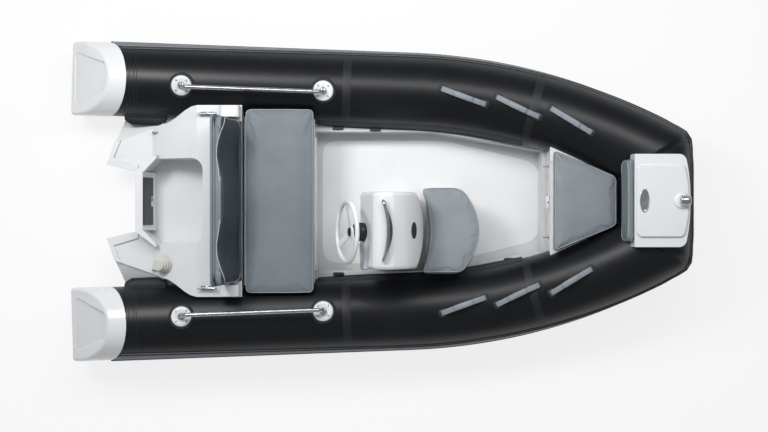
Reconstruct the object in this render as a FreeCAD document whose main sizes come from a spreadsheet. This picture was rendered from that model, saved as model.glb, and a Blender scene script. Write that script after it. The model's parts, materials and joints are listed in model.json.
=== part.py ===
import FreeCAD, Part
import math
import os

import Sketcher

# Small inflatable boat with a rigid hull, seen from above in the photograph.
# X runs forward, Y to port and Z up.  The origin lies amidships, on the centreline, at the waterline.
# Millimetres throughout.

SIZES = {
    # Inflatable collar: one radius from end to end, its centreline in plan and in height
    "tube_radius": 215,
    "tube_clearance": 0.3,
    "tube_aft_x": -1600,
    "tube_aft_y": 725,
    "tube_height": 260,
    "knee_x": 905,
    "knee_y": 631,
    "bend_radius": 2800,
    "bow_corner_x": 1615,
    "bow_corner_y": 258,
    "bow_rise": 185,
    # Oblique end caps
    "cap_tilt": 33,
    "cap_seam_x": -1592,
    "cap_end_x": -1818,
    "cap_edge_x": -1797,
    "cap_edge_height": 272,
    "cap_crest_x": -1558,
    "tread_low_x": -1790,
    "tread_low_height": 274,
    "tread_high_x": -1574,
    "tread_high_height": 438,
    "tread_low_half": 150,
    "tread_high_half": 78,
    "tread_corner": 34,
    "tread_draft": 32,
    "tread_mouth": 90,
    "cap_swell": 4,
    "cap_rim_round": 20,
    # Rubbing strake
    "strake_thick": 12,
    "strake_low": 18,
    "strake_high": 130,
    "bow_strake_low": 48,
    "bow_strake_high": 64,
    # Rigid hull
    "transom_x": -1400,
    "forefoot_x": 300,
    "stem_x": 1570,
    "keel_depth": 175,
    "stem_height": 290,
    "chine_half": 470,
    "deadrise": 17,
    "stem_deadrise": 45,
    "hull_deck": 40,
    "hull_bow_deck": 400,
    "hull_fore_deck": 200,
    # Cockpit liner
    "sole_height": 60,
    "side_deck_height": 245,
    "cockpit_aft_x": -783,
    "cockpit_half": 415,
    "cockpit_waist_x": 330,
    "cockpit_bow_x": 1010,
    "cockpit_bow_half": 300,
    "liner_side": 28,
    # Aft moulding with the outboard well
    "platform_height": 250,
    "platform_tip_x": -1607,
    "platform_tip_y": 220,
    "platform_side_x": -1505,
    "platform_inner_x": -1415,
    "platform_inner_y": 175,
    "platform_half": 507,
    "platform_thick": 75,
    "platform_rim": 42,
    "ramp_x": -1330,
    "ramp_height": 292,
    "ramp_hollow": 12,
    "facet_aft_x": -1555,
    "facet_aft_y": 354,
    "facet_fore_x": -1264,
    "facet_fore_y": 452,
    "facet_drop": 85,
    "cheek_aft_x": -905,
    "cheek_rise": 90,
    "cheek_round": 26,
    "platform_rim_height": 12,
    "aft_deck_height": 455,
    "moulding_inset": 25,
    "moulding_head": 245,
    "aft_deck_x": -1045,
    "shoulder_fore_x": -1043,
    "shoulder_half": 557,
    "well_aft_x": -1368,
    "well_fore_x": -1011,
    "well_half": 250,
    "well_floor": 150,
    "well_round": 70,
    "transom_top": 385,
    "transom_half": 172,
    "transom_thick": 43,
    "transom_slope": 38,
    "well_splay": 75,
    "pad_thick": 8,
    "pad_half": 140,
    "pad_height": 150,
    "pad_notch": 30,
    "pad_notch_deep": 32,
    "pad_margin": 6,
    # Bench across the cockpit and its backrest
    "bench_aft_x": -775,
    "bench_fore_x": -362,
    "bench_half": 412,
    "bench_wall": 14,
    "bench_height": 392,
    "lid_thick": 16,
    "lid_half": 500,
    "lid_gap": 2,
    "hinge_sink": 1,
    "lid_play": 0.5,
    "seat_room": 35,
    # Hinges: knuckles taken in turn by the lid, which holds the pin, and by the box
    "hinge_barrel": 5,
    "hinge_pin": 2.5,
    "hinge_play": 0.05,
    "hinge_leaf": 4,
    "hinge_reach": 14,
    "hinge_knuckle_gap": 0.6,
    "cushion_thick": 62,
    "bench_cushion_half": 545,
    "backrest_half": 480,
    "backrest_foot_x": -783,
    "backrest_top": 815,
    "backrest_lean": 67,
    "back_hollow_y": 280,
    "back_hollow_half": 200,
    "back_hollow_deep": 35,
    "backrest_thick": 72,
    "backrest_panel": 12,
    "backrest_fall": 8,
    "backrest_corner": 40,
    # Steering console
    "console_y": -168,
    "console_half": 216,
    "console_aft_x": -20,
    "console_fore_x": 222,
    "console_bulge": 45,
    "console_height": 850,
    "console_blank": 150,
    "console_swell": 60,
    "console_crown": 20,
    "console_round": 24,
    "dash_height": 640,
    "dash_lean": 75,
    "dash_drop": 35,
    "dash_toe": 90,
    "console_brow_x": 95,
    "console_nose_height": 470,
    # Low screen with a rail along its top, badge and control pod on the console
    "screen_half": 165,
    "screen_x": 105,
    "screen_end_x": 45,
    "screen_rail_x": 63,
    "screen_rail_end_x": 38,
    "screen_rise": 46,
    "screen_thick": 4,
    "screen_rail_tube": 8,
    "badge_width": 95,
    "badge_height": 54,
    "badge_thick": 3,
    "badge_x": 209,
    "pod_low_y": -388,
    "pod_high_y": -236,
    "pod_width": 92,
    "pod_tip_width": 58,
    "pod_thick": 30,
    "pod_round": 12,
    # Steering wheel
    "wheel_x": -165,
    "wheel_y": -176,
    "wheel_height": 730,
    "wheel_tilt": 21,
    "wheel_radius": 168,
    "wheel_rim": 13,
    "wheel_hub": 34,
    "wheel_spoke": 26,
    "helm_radius": 52,
    "shaft_radius": 12,
    "shaft_play": 0.05,
    # Seat in front of the console
    "front_seat_y": -173,
    "front_seat_half": 251,
    "front_seat_aft_x": 252,
    "front_seat_hollow": 52,
    "front_seat_side_x": 499,
    "front_seat_bulge": 105,
    "front_seat_height": 400,
    "front_lid_inset": 14,
    "front_box_inset": 24,
    "front_box_side": 64,
    # Bow locker, its seat and backrest
    "locker_bow_x": 1385,
    "locker_height": 425,
    "locker_wall": 16,
    "locker_rebate": 8,
    "locker_half": 470,
    "bow_seat_aft_half": 288,
    "bow_seat_bow_half": 138,
    "bow_seat_aft_x": 1026,
    "bow_seat_bow_x": 1385,
    "bow_lid_inset": 14,
    "bow_back_half": 240,
    "bow_back_foot_x": 1396,
    "bow_back_top_x": 1450,
    "bow_back_rise": 140,
    "bow_back_foot_depth": 40,
    "bow_back_top_depth": 26,
    "step_gap": 1,
    "step_blank": 138,
    # Bow step
    "step_aft_x": 1425,
    "step_fore_x": 1735,
    "step_bulge": 30,
    "step_half": 262,
    "step_height": 700,
    "step_pad_half": 205,
    "step_pad_thick": 16,
    "step_margin": 10,
    "step_round": 45,
    # Stainless fittings
    "rail_aft_x": -1129,
    "rail_fore_x": -308,
    "rail_lean": 10,
    "rail_tube": 12.5,
    "rail_rise": 66,
    "rail_bend": 45,
    "flange_radius": 59,
    "flange_thick": 9,
    "boot_radius": 75,
    "boot_thick": 9,
    # Webbing carry handles
    "handle_aft_x": 518,
    "handle_middle_x": 844,
    "handle_fore_x": 1156,
    "handle_aft_lean": 7,
    "handle_middle_lean": 8,
    "handle_fore_lean": 6,
    "handle_length": 280,
    "handle_width": 30,
    "handle_thick": 5,
    "handle_rise": 34,
    "handle_turn": 12,
    "patch_length": 56,
    "patch_sink": 20,
    "patch_thick": 4,
    # Bow light, mooring cleats, towing eyes and the boot for the engine's cables
    "light_x": 1711,
    "light_radius": 46,
    "light_base": 14,
    "lamp_radius": 30,
    "lamp_length": 60,
    "eye_radius": 17,
    "eye_rod": 4.5,
    "stern_eye_x": -1310,
    "stern_eye_y": 406,
    "bow_eye_height": 140,
    "boot_x": -1232,
    "boot_y": 372,
    "cable_boot_radius": 52,
    "cable_boot_top": 34,
    "cable_boot_rise": 70,
    "cleat_x": -982,
    "cleat_y": 505,
    "cleat_length": 116,
    "cleat_rod": 7,
    "cleat_post": 6,
    "cleat_rise": 32,
    "cleat_spread": 18,
    # How far a form that trims runs past what it trims
    "trim_past": 100,
}

HINGE_KNUCKLES = 9
BOOT_RIBS = 4
# Height of a quarter arc over its chord, as a share of its radius
ARC_BOW = 0.29

doc = FreeCAD.newDocument("RibBoat")
sheet = doc.addObject("Spreadsheet::Sheet", "Sizes")
for row, (alias, number) in enumerate(SIZES.items(), start=1):
    sheet.set("A%d" % row, alias)
    sheet.set("B%d" % row, str(number))
    sheet.setAlias("B%d" % row, alias)
doc.recompute()


class Size:
    # A measure kept twice: as its number now, and as the formula of the cells that it comes from
    def __init__(self, number, formula):
        self.number = number
        self.formula = formula

    def join(self, other, sign, result):
        return Size(result, "(%s %s %s)" % (self.formula, sign, as_size(other).formula))

    def __add__(self, other):
        return self.join(other, "+", self.number + as_size(other).number)

    def __sub__(self, other):
        return self.join(other, "-", self.number - as_size(other).number)

    def __mul__(self, other):
        return self.join(other, "*", self.number * as_size(other).number)

    def __truediv__(self, other):
        return self.join(other, "/", self.number / as_size(other).number)

    def __neg__(self):
        return Size(-self.number, "(-%s)" % self.formula)

    def __radd__(self, other):
        return as_size(other) + self

    def __rsub__(self, other):
        return as_size(other) - self

    def __rmul__(self, other):
        return as_size(other) * self

    def __float__(self):
        return float(self.number)


def as_size(value):
    return value if isinstance(value, Size) else Size(value, "(%r)" % value)


class Cells:
    # Gives each cell of the sheet by its alias
    def __getattr__(self, alias):
        return Size(float(sheet.get(alias)), "Sizes." + alias)


s = Cells()
pieces = {}


def keep(node, thing):
    thing.Label = node
    pieces[node] = thing
    return thing


def bind(thing, prop, value):
    thing.setExpression(prop, as_size(value).formula)


def vector(x, y, z):
    return FreeCAD.Vector(float(x), float(y), float(z))


def offset(placement, x, y, z):
    return placement.multiply(FreeCAD.Placement(vector(x, y, z), FreeCAD.Rotation()))


# Primitives and booleans bound to the sheet

def box(name, low, high):
    solid = doc.addObject("Part::Box", name)
    for prop, axis, start, end in zip(("Length", "Width", "Height"), "xyz", low, high):
        bind(solid, prop, as_size(end) - start)
        bind(solid, "Placement.Base." + axis, start)
    return solid


def cylinder(name, radius, length, placement=None):
    solid = doc.addObject("Part::Cylinder", name)
    bind(solid, "Radius", radius)
    bind(solid, "Height", length)
    if placement is not None:
        solid.Placement = placement
    return solid


def cut(name, base, tool):
    solid = doc.addObject("Part::Cut", name)
    solid.Base = base
    solid.Tool = tool
    return solid


def common(name, base, tool):
    solid = doc.addObject("Part::Common", name)
    solid.Base = base
    solid.Tool = tool
    return solid


def fuse(name, parts):
    solid = doc.addObject("Part::MultiFuse", name)
    solid.Shapes = parts
    solid.Refine = True
    return solid


def mirror(name, source):
    solid = doc.addObject("Part::Mirroring", name)
    solid.Source = source
    solid.Normal = FreeCAD.Vector(0, 1, 0)
    return solid


def round_edges(name, base, radius, wanted):
    # Fillets the edges of a solid that the test picks out by their midpoint and direction
    doc.recompute()
    chosen = []
    for number, edge in enumerate(base.Shape.Edges, start=1):
        middle = edge.valueAt((edge.FirstParameter + edge.LastParameter) / 2)
        way = edge.tangentAt(edge.FirstParameter)
        if wanted(middle, way, edge):
            chosen.append((number, float(radius), float(radius)))
    solid = doc.addObject("Part::Fillet", name)
    solid.Base = base
    solid.Edges = chosen
    return solid


def upright(middle, way, edge):
    return abs(way.z) > 0.999


def tilted_box(name, placement, low, high):
    # Box in a frame of its own, from its low corner to its high one
    solid = doc.addObject("Part::Box", name)
    for prop, start, end in zip(("Length", "Width", "Height"), low, high):
        bind(solid, prop, as_size(end) - start)
    solid.Placement = offset(placement, *low)
    return solid


# Sketched outlines, padded into solids

def outline(name, placement, corners):
    # Closed outline whose corners sit at the given measures; a third measure on a corner bows
    # the run to the next corner outwards by that much
    sketch = doc.addObject("Sketcher::SketchObject", name)
    sketch.Placement = placement
    count = len(corners)
    for index, corner in enumerate(corners):
        after = corners[(index + 1) % count]
        start = vector(corner[0], corner[1], 0)
        end = vector(after[0], after[1], 0)
        if len(corner) == 3:
            side = (end - start).cross(FreeCAD.Vector(0, 0, 1)).normalize()
            crest = (start + end) * 0.5 + side * float(corner[2])
            anticlockwise = (crest - start).cross(end - crest).z > 0
            arc = Part.Arc(start, crest, end) if anticlockwise else Part.Arc(end, crest, start)
            sketch.addGeometry(arc, False)
        else:
            sketch.addGeometry(Part.LineSegment(start, end), False)
    for index, corner in enumerate(corners):
        after = (index + 1) % count
        begin_point = start_point(sketch, index, corner)
        end_point = 3 - begin_point
        next_point = start_point(sketch, after, corners[after])
        sketch.addConstraint(Sketcher.Constraint("Coincident", index, end_point, after, next_point))
        for kind, measure in (("DistanceX", corner[0]), ("DistanceY", corner[1])):
            rule = Sketcher.Constraint(kind, -1, 1, index, begin_point, float(measure))
            number = sketch.addConstraint(rule)
            bind(sketch, "Constraints[%d]" % number, measure)
        if len(corner) == 3:
            pin_centre(sketch, index, corner, corners[after])
    return sketch


def pin_centre(sketch, index, corner, after):
    # The centre of a bowed run lies on its chord's midline, so one coordinate of it settles the arc
    across = as_size(after[0]) - corner[0]
    along = as_size(after[1]) - corner[1]
    chord = across * across + along * along
    reach = chord / (corner[2] * 8) - corner[2] / 2
    if abs(along.number) > abs(across.number):
        kind = "DistanceX"
        place = (as_size(after[0]) + corner[0]) / 2 - along * reach / length_of(chord)
    else:
        kind = "DistanceY"
        place = (as_size(after[1]) + corner[1]) / 2 + across * reach / length_of(chord)
    number = sketch.addConstraint(Sketcher.Constraint(kind, -1, 1, index, 3, float(place)))
    bind(sketch, "Constraints[%d]" % number, place)


def length_of(square):
    return Size(math.sqrt(square.number), "sqrt(%s)" % square.formula)


def start_point(sketch, index, corner):
    # An arc always runs anticlockwise, so its first end can be the outline's second
    edge = sketch.Geometry[index]
    first = edge.StartPoint if hasattr(edge, "StartPoint") else edge.startPoint()
    return 1 if first.distanceToPoint(vector(corner[0], corner[1], 0)) < 1e-4 else 2


def flat_at(z=0):
    return FreeCAD.Placement(FreeCAD.Vector(0, 0, float(z)), FreeCAD.Rotation())


# Local X, Y of a side profile are the boat's X and Z, and its local Z points to starboard
SIDE_VIEW = FreeCAD.Placement(FreeCAD.Vector(), FreeCAD.Rotation(FreeCAD.Vector(1, 0, 0), 90))


def extrude(name, sketch, length, both=False):
    solid = doc.addObject("Part::Extrusion", name)
    solid.Base = sketch
    solid.DirMode = "Normal"
    bind(solid, "LengthFwd", length)
    solid.Symmetric = both
    solid.Solid = True
    return solid


def slab(name, corners, low, high):
    # Plan outline raised from one height to another
    sketch = outline(name + "_plan", flat_at(), corners)
    bind(sketch, "Placement.Base.z", low)
    return extrude(name, sketch, as_size(high) - low)


def profile(name, corners, middle, half):
    # Side outline given breadth on both sides of a fore-and-aft plane
    sketch = outline(name + "_side", SIDE_VIEW, corners)
    bind(sketch, "Placement.Base.y", middle)
    return extrude(name, sketch, half * 2, both=True)


def mirrored(corners):
    # The port half of a plan outline, given from aft to bow, with its starboard half added
    other = [(x, -y) for x, y in corners]
    return other + corners[::-1]


# Collar centreline on the port side: aft run, bend and forward run, all in one tilted plane

aft_end = vector(s.tube_aft_x, s.tube_aft_y, s.tube_height)
knee = vector(s.knee_x, s.knee_y, s.tube_height)
corner = vector(s.bow_corner_x, s.bow_corner_y, s.tube_height + s.bow_rise)
aft_way = (knee - aft_end).normalize()
fore_way = (corner - knee).normalize()
turn = aft_way.getAngle(fore_way)
tangent = float(s.bend_radius) * math.tan(turn / 2)
bend_start = knee - aft_way * tangent
bend_end = knee + fore_way * tangent
plane_up = fore_way.cross(aft_way).normalize()
inboard = plane_up.cross(aft_way) * -1
if inboard.y > 0:
    inboard = inboard * -1
bend_centre = bend_start + inboard * float(s.bend_radius)


def facing(origin, axis, across):
    # Placement whose local Z is the axis and whose local X lies near the given direction
    side = axis.cross(across).normalize()
    along = side.cross(axis).normalize()
    return FreeCAD.Placement(origin, FreeCAD.Rotation(along, side, axis, "ZXY"))


def hinge(name, start, way, inward, length, box_reach):
    # Knuckles along a pin: gives the parts that join the lid and the parts that join its box, and the
    # room that each leaves for the other's knuckles
    frame = facing(start, way, inward)
    count = HINGE_KNUCKLES
    pitch = length / count
    gap = s.hinge_knuckle_gap / 2
    pin = cylinder(name + "_pin", s.hinge_pin, length, frame)
    bore = cylinder(name + "_bore", s.hinge_pin + s.hinge_play, length + 2, offset(frame, 0, 0, -1))
    lid_parts = [pin]
    box_parts = []
    rooms = ([], [])
    for number in range(count):
        low = pitch * number + gap
        high = pitch * (number + 1) - gap
        barrel = cylinder("%s_barrel_%d" % (name, number), s.hinge_barrel, high - low, offset(frame, 0, 0, low))
        room = cylinder("%s_room_%d" % (name, number), s.hinge_barrel + gap, high - low + gap * 2,
                        offset(frame, 0, 0, low - gap))
        rooms[number % 2].append(room)
        if number % 2:
            leaf = tilted_box("%s_leaf_%d" % (name, number), frame, (0, s.lid_play / 2, low),
                              (s.hinge_reach, s.hinge_leaf + s.lid_play / 2, high))
            lid_parts += [barrel, leaf]
        else:
            leaf = tilted_box("%s_leaf_%d" % (name, number), frame, (0, -s.hinge_leaf - s.lid_play / 2, low),
                              (box_reach, -s.lid_play / 2, high))
            box_parts.append(cut("%s_knuckle_%d" % (name, number),
                                 fuse("%s_joined_%d" % (name, number), [barrel, leaf]), bore))
    lid_room, box_room = (fuse(name + "_rooms_%d" % side, room) for side, room in enumerate(rooms))
    return lid_parts, box_parts, lid_room, box_room


def path_point(x):
    # Centre of the collar where it passes a given station
    if x <= bend_start.x:
        return aft_end + aft_way * ((x - aft_end.x) / aft_way.x)
    if x >= bend_end.x:
        return corner - fore_way * ((corner.x - x) / fore_way.x)
    low, high = 0.0, turn
    for _ in range(40):
        middle = (low + high) / 2
        if bend_point(middle).x < x:
            low = middle
        else:
            high = middle
    return bend_point(low)


def bend_point(angle):
    radius = float(s.bend_radius)
    return bend_centre - inboard * (radius * math.cos(angle)) + aft_way * (radius * math.sin(angle))


def path_way(x):
    return (path_point(x + 1) - path_point(x - 1)).normalize()


def side_tube(name, radius):
    # Port chamber: two straight runs, the bend between them and the ball at the bow corner
    up = plane_up
    aft = cylinder(name + "_aft", radius, bend_start.distanceToPoint(aft_end) + 400,
                   facing(aft_end - aft_way * 400, aft_way, up))
    bend = doc.addObject("Part::Torus", name + "_bend")
    bind(bend, "Radius1", s.bend_radius)
    bind(bend, "Radius2", radius)
    bend.Angle3 = math.degrees(turn)
    axis = inboard.cross(aft_way).normalize() * -1
    first = (bend_start - bend_centre).normalize()
    if axis.cross(first).dot(aft_way) < 0:
        axis = axis * -1
    bend.Placement = facing(bend_centre, axis, first)
    fore = cylinder(name + "_fore", radius, corner.distanceToPoint(bend_end),
                    facing(bend_end, fore_way, up))
    ball = doc.addObject("Part::Sphere", name + "_ball")
    bind(ball, "Radius", radius)
    ball.Placement = FreeCAD.Placement(corner, FreeCAD.Rotation(FreeCAD.Vector(1, 0, 0), 90))
    return fuse(name, [aft, bend, fore, ball])


def bow_tube(name, radius):
    # Chamber across the bow, with a ball at each end
    across = cylinder(name + "_across", radius, s.bow_corner_y * 2,
                      facing(corner, FreeCAD.Vector(0, -1, 0), FreeCAD.Vector(0, 0, 1)))
    ends = []
    for side, tag in ((1, "_port_ball"), (-1, "_starboard_ball")):
        ball = doc.addObject("Part::Sphere", name + tag)
        bind(ball, "Radius", radius)
        ball.Placement = FreeCAD.Placement(vector(corner.x, corner.y * side, corner.z),
                                           FreeCAD.Rotation(FreeCAD.Vector(1, 0, 0), 90))
        ends.append(ball)
    return fuse(name, [across] + ends)


BIG = 1200


def half_space(name, origin, axis):
    # Block that fills the space beyond a plane, on the side that the axis points to
    block = doc.addObject("Part::Box", name)
    block.Length = BIG
    block.Width = BIG
    block.Height = BIG
    place = facing(origin, axis, FreeCAD.Vector(0, 0, 1))
    shift = FreeCAD.Placement(FreeCAD.Vector(-BIG / 2, -BIG / 2, 0), FreeCAD.Rotation())
    block.Placement = place.multiply(shift)
    return block


room = s.tube_radius + s.tube_clearance
collar_port = side_tube("collar_room_port", room)
collar_starboard = mirror("collar_room_starboard", collar_port)
collar_bow = bow_tube("collar_room_bow", room)
collar_room = fuse("collar_room", [collar_port, collar_starboard, collar_bow])
doc.recompute()

# Tube chambers, split on the mitre at each bow corner

mitre_way = (fore_way + FreeCAD.Vector(0, -1, 0)).normalize()
beyond_mitre = half_space("beyond_mitre", corner, mitre_way)
behind_mitre = half_space("behind_mitre", corner, mitre_way * -1)
other_behind_mitre = mirror("other_behind_mitre", behind_mitre)

tilt = math.radians(float(s.cap_tilt))
cap_face_way = FreeCAD.Vector(-math.cos(tilt), 0, math.sin(tilt))
seam_point = path_point(float(s.cap_seam_x))
behind_seam = half_space("behind_seam", seam_point, cap_face_way)
ahead_of_seam = half_space("ahead_of_seam", seam_point, cap_face_way * -1)

side_chamber = side_tube("side_chamber", s.tube_radius)
chamber_cut = cut("chamber_cut", side_chamber, fuse("chamber_ends", [beyond_mitre, behind_seam]))
tube_port = keep("tube_port", chamber_cut)
tube_starboard = keep("tube_starboard", mirror("tube_starboard", tube_port))
bow_chamber = bow_tube("bow_chamber", s.tube_radius)
bow_behind = fuse("bow_behind", [behind_mitre, other_behind_mitre])
tube_bow = keep("tube_bow", cut("tube_bow", bow_chamber, bow_behind))

# End caps: upright at the foot, sloped above, with a sunk tread in the slope

cap_edge = vector(s.cap_edge_x, aft_end.y, s.cap_edge_height)
cap_crest = vector(s.cap_crest_x, aft_end.y, s.tube_height + s.tube_radius)
cap_slope = (cap_crest - cap_edge).normalize()
cap_slope_way = FreeCAD.Vector(-cap_slope.z, 0, cap_slope.x)
behind_end = half_space("behind_end", path_point(float(s.cap_end_x)), aft_way * -1)
behind_slope = half_space("behind_slope", cap_edge, cap_slope_way)
cap_reach = 500
cap_bar = cylinder("cap_bar", s.tube_radius + s.cap_swell, cap_reach * 2,
                   facing(seam_point - aft_way * cap_reach, aft_way, plane_up))
cap_blank = cut("cap_blank", cap_bar, fuse("cap_ends", [ahead_of_seam, behind_end, behind_slope]))


def cap_rim(middle, way, edge):
    on_slope = abs((middle - cap_edge).dot(cap_slope_way)) < 1
    on_end = abs((middle - path_point(float(s.cap_end_x))).dot(aft_way)) < 1
    return on_slope or on_end


cap_round = round_edges("cap_round", cap_blank, s.cap_rim_round, cap_rim)
tread_low = vector(s.tread_low_x, aft_end.y, s.tread_low_height)
tread_high = vector(s.tread_high_x, aft_end.y, s.tread_high_height)
tread_run = tread_high - tread_low
tread_slope = tread_run.normalize()
tread_way = FreeCAD.Vector(-tread_slope.z, 0, tread_slope.x)
tread_half = tread_low.distanceToPoint(tread_high) / 2
tread_middle = (tread_low + tread_high) * 0.5
tread_middle.y = path_point(tread_middle.x).y


def tread_plan(name, lift):
    # Outline of the tread at a height over it, where the drafted walls have opened out
    lift = float(lift)
    more = lift * math.tan(math.radians(float(s.tread_draft)))
    long, low, high = tread_half + more, s.tread_low_half + more, s.tread_high_half + more
    round_at = s.tread_corner
    bow = round_at * ARC_BOW
    frame = facing(tread_middle + tread_way * lift, tread_way, tread_slope)
    return outline(name, frame, [
        (-long, -low + round_at, bow), (-long + round_at, -low), (long - round_at, -high, bow),
        (long, -high + round_at), (long, high - round_at, bow), (long - round_at, high),
        (-long + round_at, low, bow), (-long, low - round_at)])


cap_tread = doc.addObject("Part::Loft", "cap_tread")
cap_tread.Sections = [tread_plan("tread_foot", 0), tread_plan("tread_mouth", s.tread_mouth)]
cap_tread.Solid = True
cap_tread.Ruled = True
cap_port = keep("cap_port", cut("cap_port", cap_round, cap_tread))
keep("cap_starboard", mirror("cap_starboard", cap_port))

# Rubbing strake: a band of rubber on the outer side of the collar

strake_ring = cut("strake_ring", side_tube("strake_skin", s.tube_radius + s.strake_thick), collar_port)
strake_plane = facing(aft_end, plane_up, aft_way)
path_out = 420
points = [strake_plane.inverse().multVec(point) for point in (aft_end, bend_start, bend_end, corner)]
middle_of_bend = strake_plane.inverse().multVec(bend_point(turn / 2))
out_side = 1 if strake_plane.inverse().multVec(bend_centre).y < 0 else -1
fore_out = strake_plane.inverse().Rotation.multVec(fore_way.cross(plane_up)).normalize()
if fore_out.y * out_side < 0:
    fore_out = fore_out * -1
inner_edges = [
    Part.makeLine(points[0], points[1]),
    Part.Arc(points[1], middle_of_bend, points[2]).toShape(),
    Part.makeLine(points[2], points[3]),
]
outer_aft = points[0] + FreeCAD.Vector(0, path_out * out_side, 0)
outer_knee = points[1] + FreeCAD.Vector(0, path_out * out_side, 0)
outer_fore = points[3] + fore_out * path_out
outer_bend = FreeCAD.Vector(middle_of_bend.x + 60, middle_of_bend.y + path_out * out_side, 0)
rim = inner_edges + [
    Part.makeLine(points[3], outer_fore),
    Part.makeLine(outer_fore, outer_bend),
    Part.makeLine(outer_bend, outer_knee),
    Part.makeLine(outer_knee, outer_aft),
    Part.makeLine(outer_aft, points[0]),
]
strake_face = Part.Face(Part.Wire(rim))
band = doc.addObject("Part::Feature", "strake_band")
low_edge = float(s.strake_low)
band_shape = strake_face.extrude(FreeCAD.Vector(0, 0, float(s.strake_high) - low_edge))
band_shape.translate(FreeCAD.Vector(0, 0, low_edge))
band.Shape = band_shape
band.Placement = strake_plane
strake_side = common("strake_side", strake_ring, band)
strake_port = keep("strake_port", cut("strake_port", strake_side, behind_seam))
keep("strake_starboard", mirror("strake_starboard", strake_port))

bow_ring = cut("bow_ring", bow_tube("bow_strake_skin", s.tube_radius + s.strake_thick), collar_bow)
bow_level = s.tube_height + s.bow_rise
bow_band = box("bow_band", (s.bow_corner_x - s.trim_past, -600, bow_level - s.bow_strake_low),
               (s.bow_corner_x + 400, 600, bow_level + s.bow_strake_high))
ahead_port = half_space("behind_corner", corner, fore_way * -1)
ahead_starboard = mirror("behind_other_corner", ahead_port)
bow_strip = common("bow_strip", bow_ring, bow_band)
strake_bow = cut("strake_bow", bow_strip, fuse("bow_strip_ends", [ahead_port, ahead_starboard]))
keep("strake_bow", strake_bow)

# Rigid hull: a deep vee, lofted through stations

def hull_station(x):
    share = max(0.0, (x - float(s.forefoot_x)) / float(s.stem_x - s.forefoot_x))
    keel = -float(s.keel_depth) + float(s.stem_height + s.keel_depth) * share ** 4
    chine = float(s.chine_half) * (1 - share ** 2.2) + 15 * share
    rise = float(s.deadrise) + float(s.stem_deadrise - s.deadrise) * share ** 2.2
    chine_height = keel + chine * math.tan(math.radians(rise))
    tube = path_point(x)
    half = [
        (0, keel),
        (chine, chine_height),
        (tube.y - 20, tube.z - 180),
        (tube.y - 100, tube.z),
    ]
    ring = half + [(-y, z) for y, z in reversed(half[1:])]
    return Part.makePolygon([FreeCAD.Vector(x, y, z) for y, z in ring + ring[:1]])


HULL_SPANS = 9
fore_length = float(s.stem_x - s.forefoot_x)
stations = [float(s.transom_x)]
for number in range(HULL_SPANS + 1):
    stations.append(float(s.forefoot_x) + fore_length * number / HULL_SPANS)
hull_loft = doc.addObject("Part::Feature", "hull_loft")
hull_loft.Shape = Part.makeLoft([hull_station(x) for x in stations], True, True)
hull_trim = cut("hull_trim", hull_loft, collar_room)
wall_half = s.cockpit_half + s.liner_side
wall_bow_half = s.cockpit_bow_half + s.liner_side
channel_plan = mirrored([(s.transom_x - 10, wall_half), (s.cockpit_waist_x, wall_half),
                         (s.cockpit_bow_x, wall_bow_half)])
channel = slab("channel", channel_plan, s.hull_deck, 900)
above_side_deck = box("above_side_deck", (s.transom_x - 10, -900, s.side_deck_height),
                      (s.cockpit_bow_x, 900, 900))
above_fore_deck = box("above_fore_deck", (s.cockpit_bow_x, -900, s.hull_fore_deck),
                      (s.locker_bow_x, 900, 900))
above_bow_deck = box("above_bow_deck", (s.locker_bow_x - 5, -900, s.hull_bow_deck), (1900, 900, 900))
hull_spaces = fuse("hull_spaces", [channel, above_side_deck, above_fore_deck, above_bow_deck])
hull = keep("hull", cut("hull", hull_trim, hull_spaces))

# Cockpit liner: sole and side walls, lying in the channel of the hull

liner_plan = mirrored([(s.cockpit_aft_x, wall_half), (s.cockpit_waist_x, wall_half),
                       (s.cockpit_bow_x, wall_bow_half)])
liner_block = slab("liner_block", liner_plan, s.hull_deck, s.side_deck_height)
cockpit_plan = mirrored([(s.cockpit_aft_x - 5, s.cockpit_half), (s.cockpit_waist_x, s.cockpit_half),
                         (s.cockpit_bow_x - s.liner_side, s.cockpit_bow_half)])
cockpit_room = slab("cockpit_room", cockpit_plan, s.sole_height, 600)
liner_open = cut("liner_open", liner_block, cockpit_room)
keep("deck_liner", cut("deck_liner", liner_open, collar_room))

# Aft moulding: swim platforms, outboard well and the deck behind the backrest

def ramp(name, lift):
    # Side outline of the moulding: platform aft, ramp up beside the well, deck behind the backrest
    return profile(name, [
        (s.transom_x, s.hull_deck), (s.cockpit_aft_x, s.hull_deck),
        (s.cockpit_aft_x, s.aft_deck_height + lift), (s.aft_deck_x, s.aft_deck_height + lift, s.ramp_hollow),
        (s.ramp_x, s.ramp_height + lift), (s.platform_tip_x - 20, s.platform_height + lift),
        (s.platform_tip_x - 20, s.platform_height - s.platform_thick)], 0, s.tube_aft_y - s.moulding_inset)


tip = (s.platform_tip_x, s.platform_tip_y)
inner = (s.platform_inner_x, s.platform_inner_y)
low_plan = mirrored([inner, tip, (s.platform_side_x, s.platform_half), (s.transom_x, s.platform_half),
                     (s.transom_x, wall_half), (s.cockpit_aft_x, wall_half)])
SHOULDER_STEPS = 6
shoulder = []
for number in range(SHOULDER_STEPS + 1):
    share = number / SHOULDER_STEPS
    shoulder.append((s.facet_fore_x + (s.shoulder_fore_x - s.facet_fore_x) * share,
                     s.facet_fore_y + (s.shoulder_half - s.facet_fore_y) * (share * share * (3 - 2 * share))))
high_plan = mirrored([inner, tip, (s.platform_side_x, s.platform_half), (s.facet_fore_x - 1, s.platform_half)]
                     + shoulder + [(s.cockpit_aft_x, s.shoulder_half)])
low_part = slab("low_part", low_plan, -s.trim_past, s.side_deck_height)
moulding_top = s.aft_deck_height + s.moulding_head
high_part = slab("high_part", high_plan, s.side_deck_height, moulding_top)
ramp_form = common("ramp_form", ramp("ramp_top", 0), fuse("ramp_plan", [low_part, high_part]))

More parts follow.
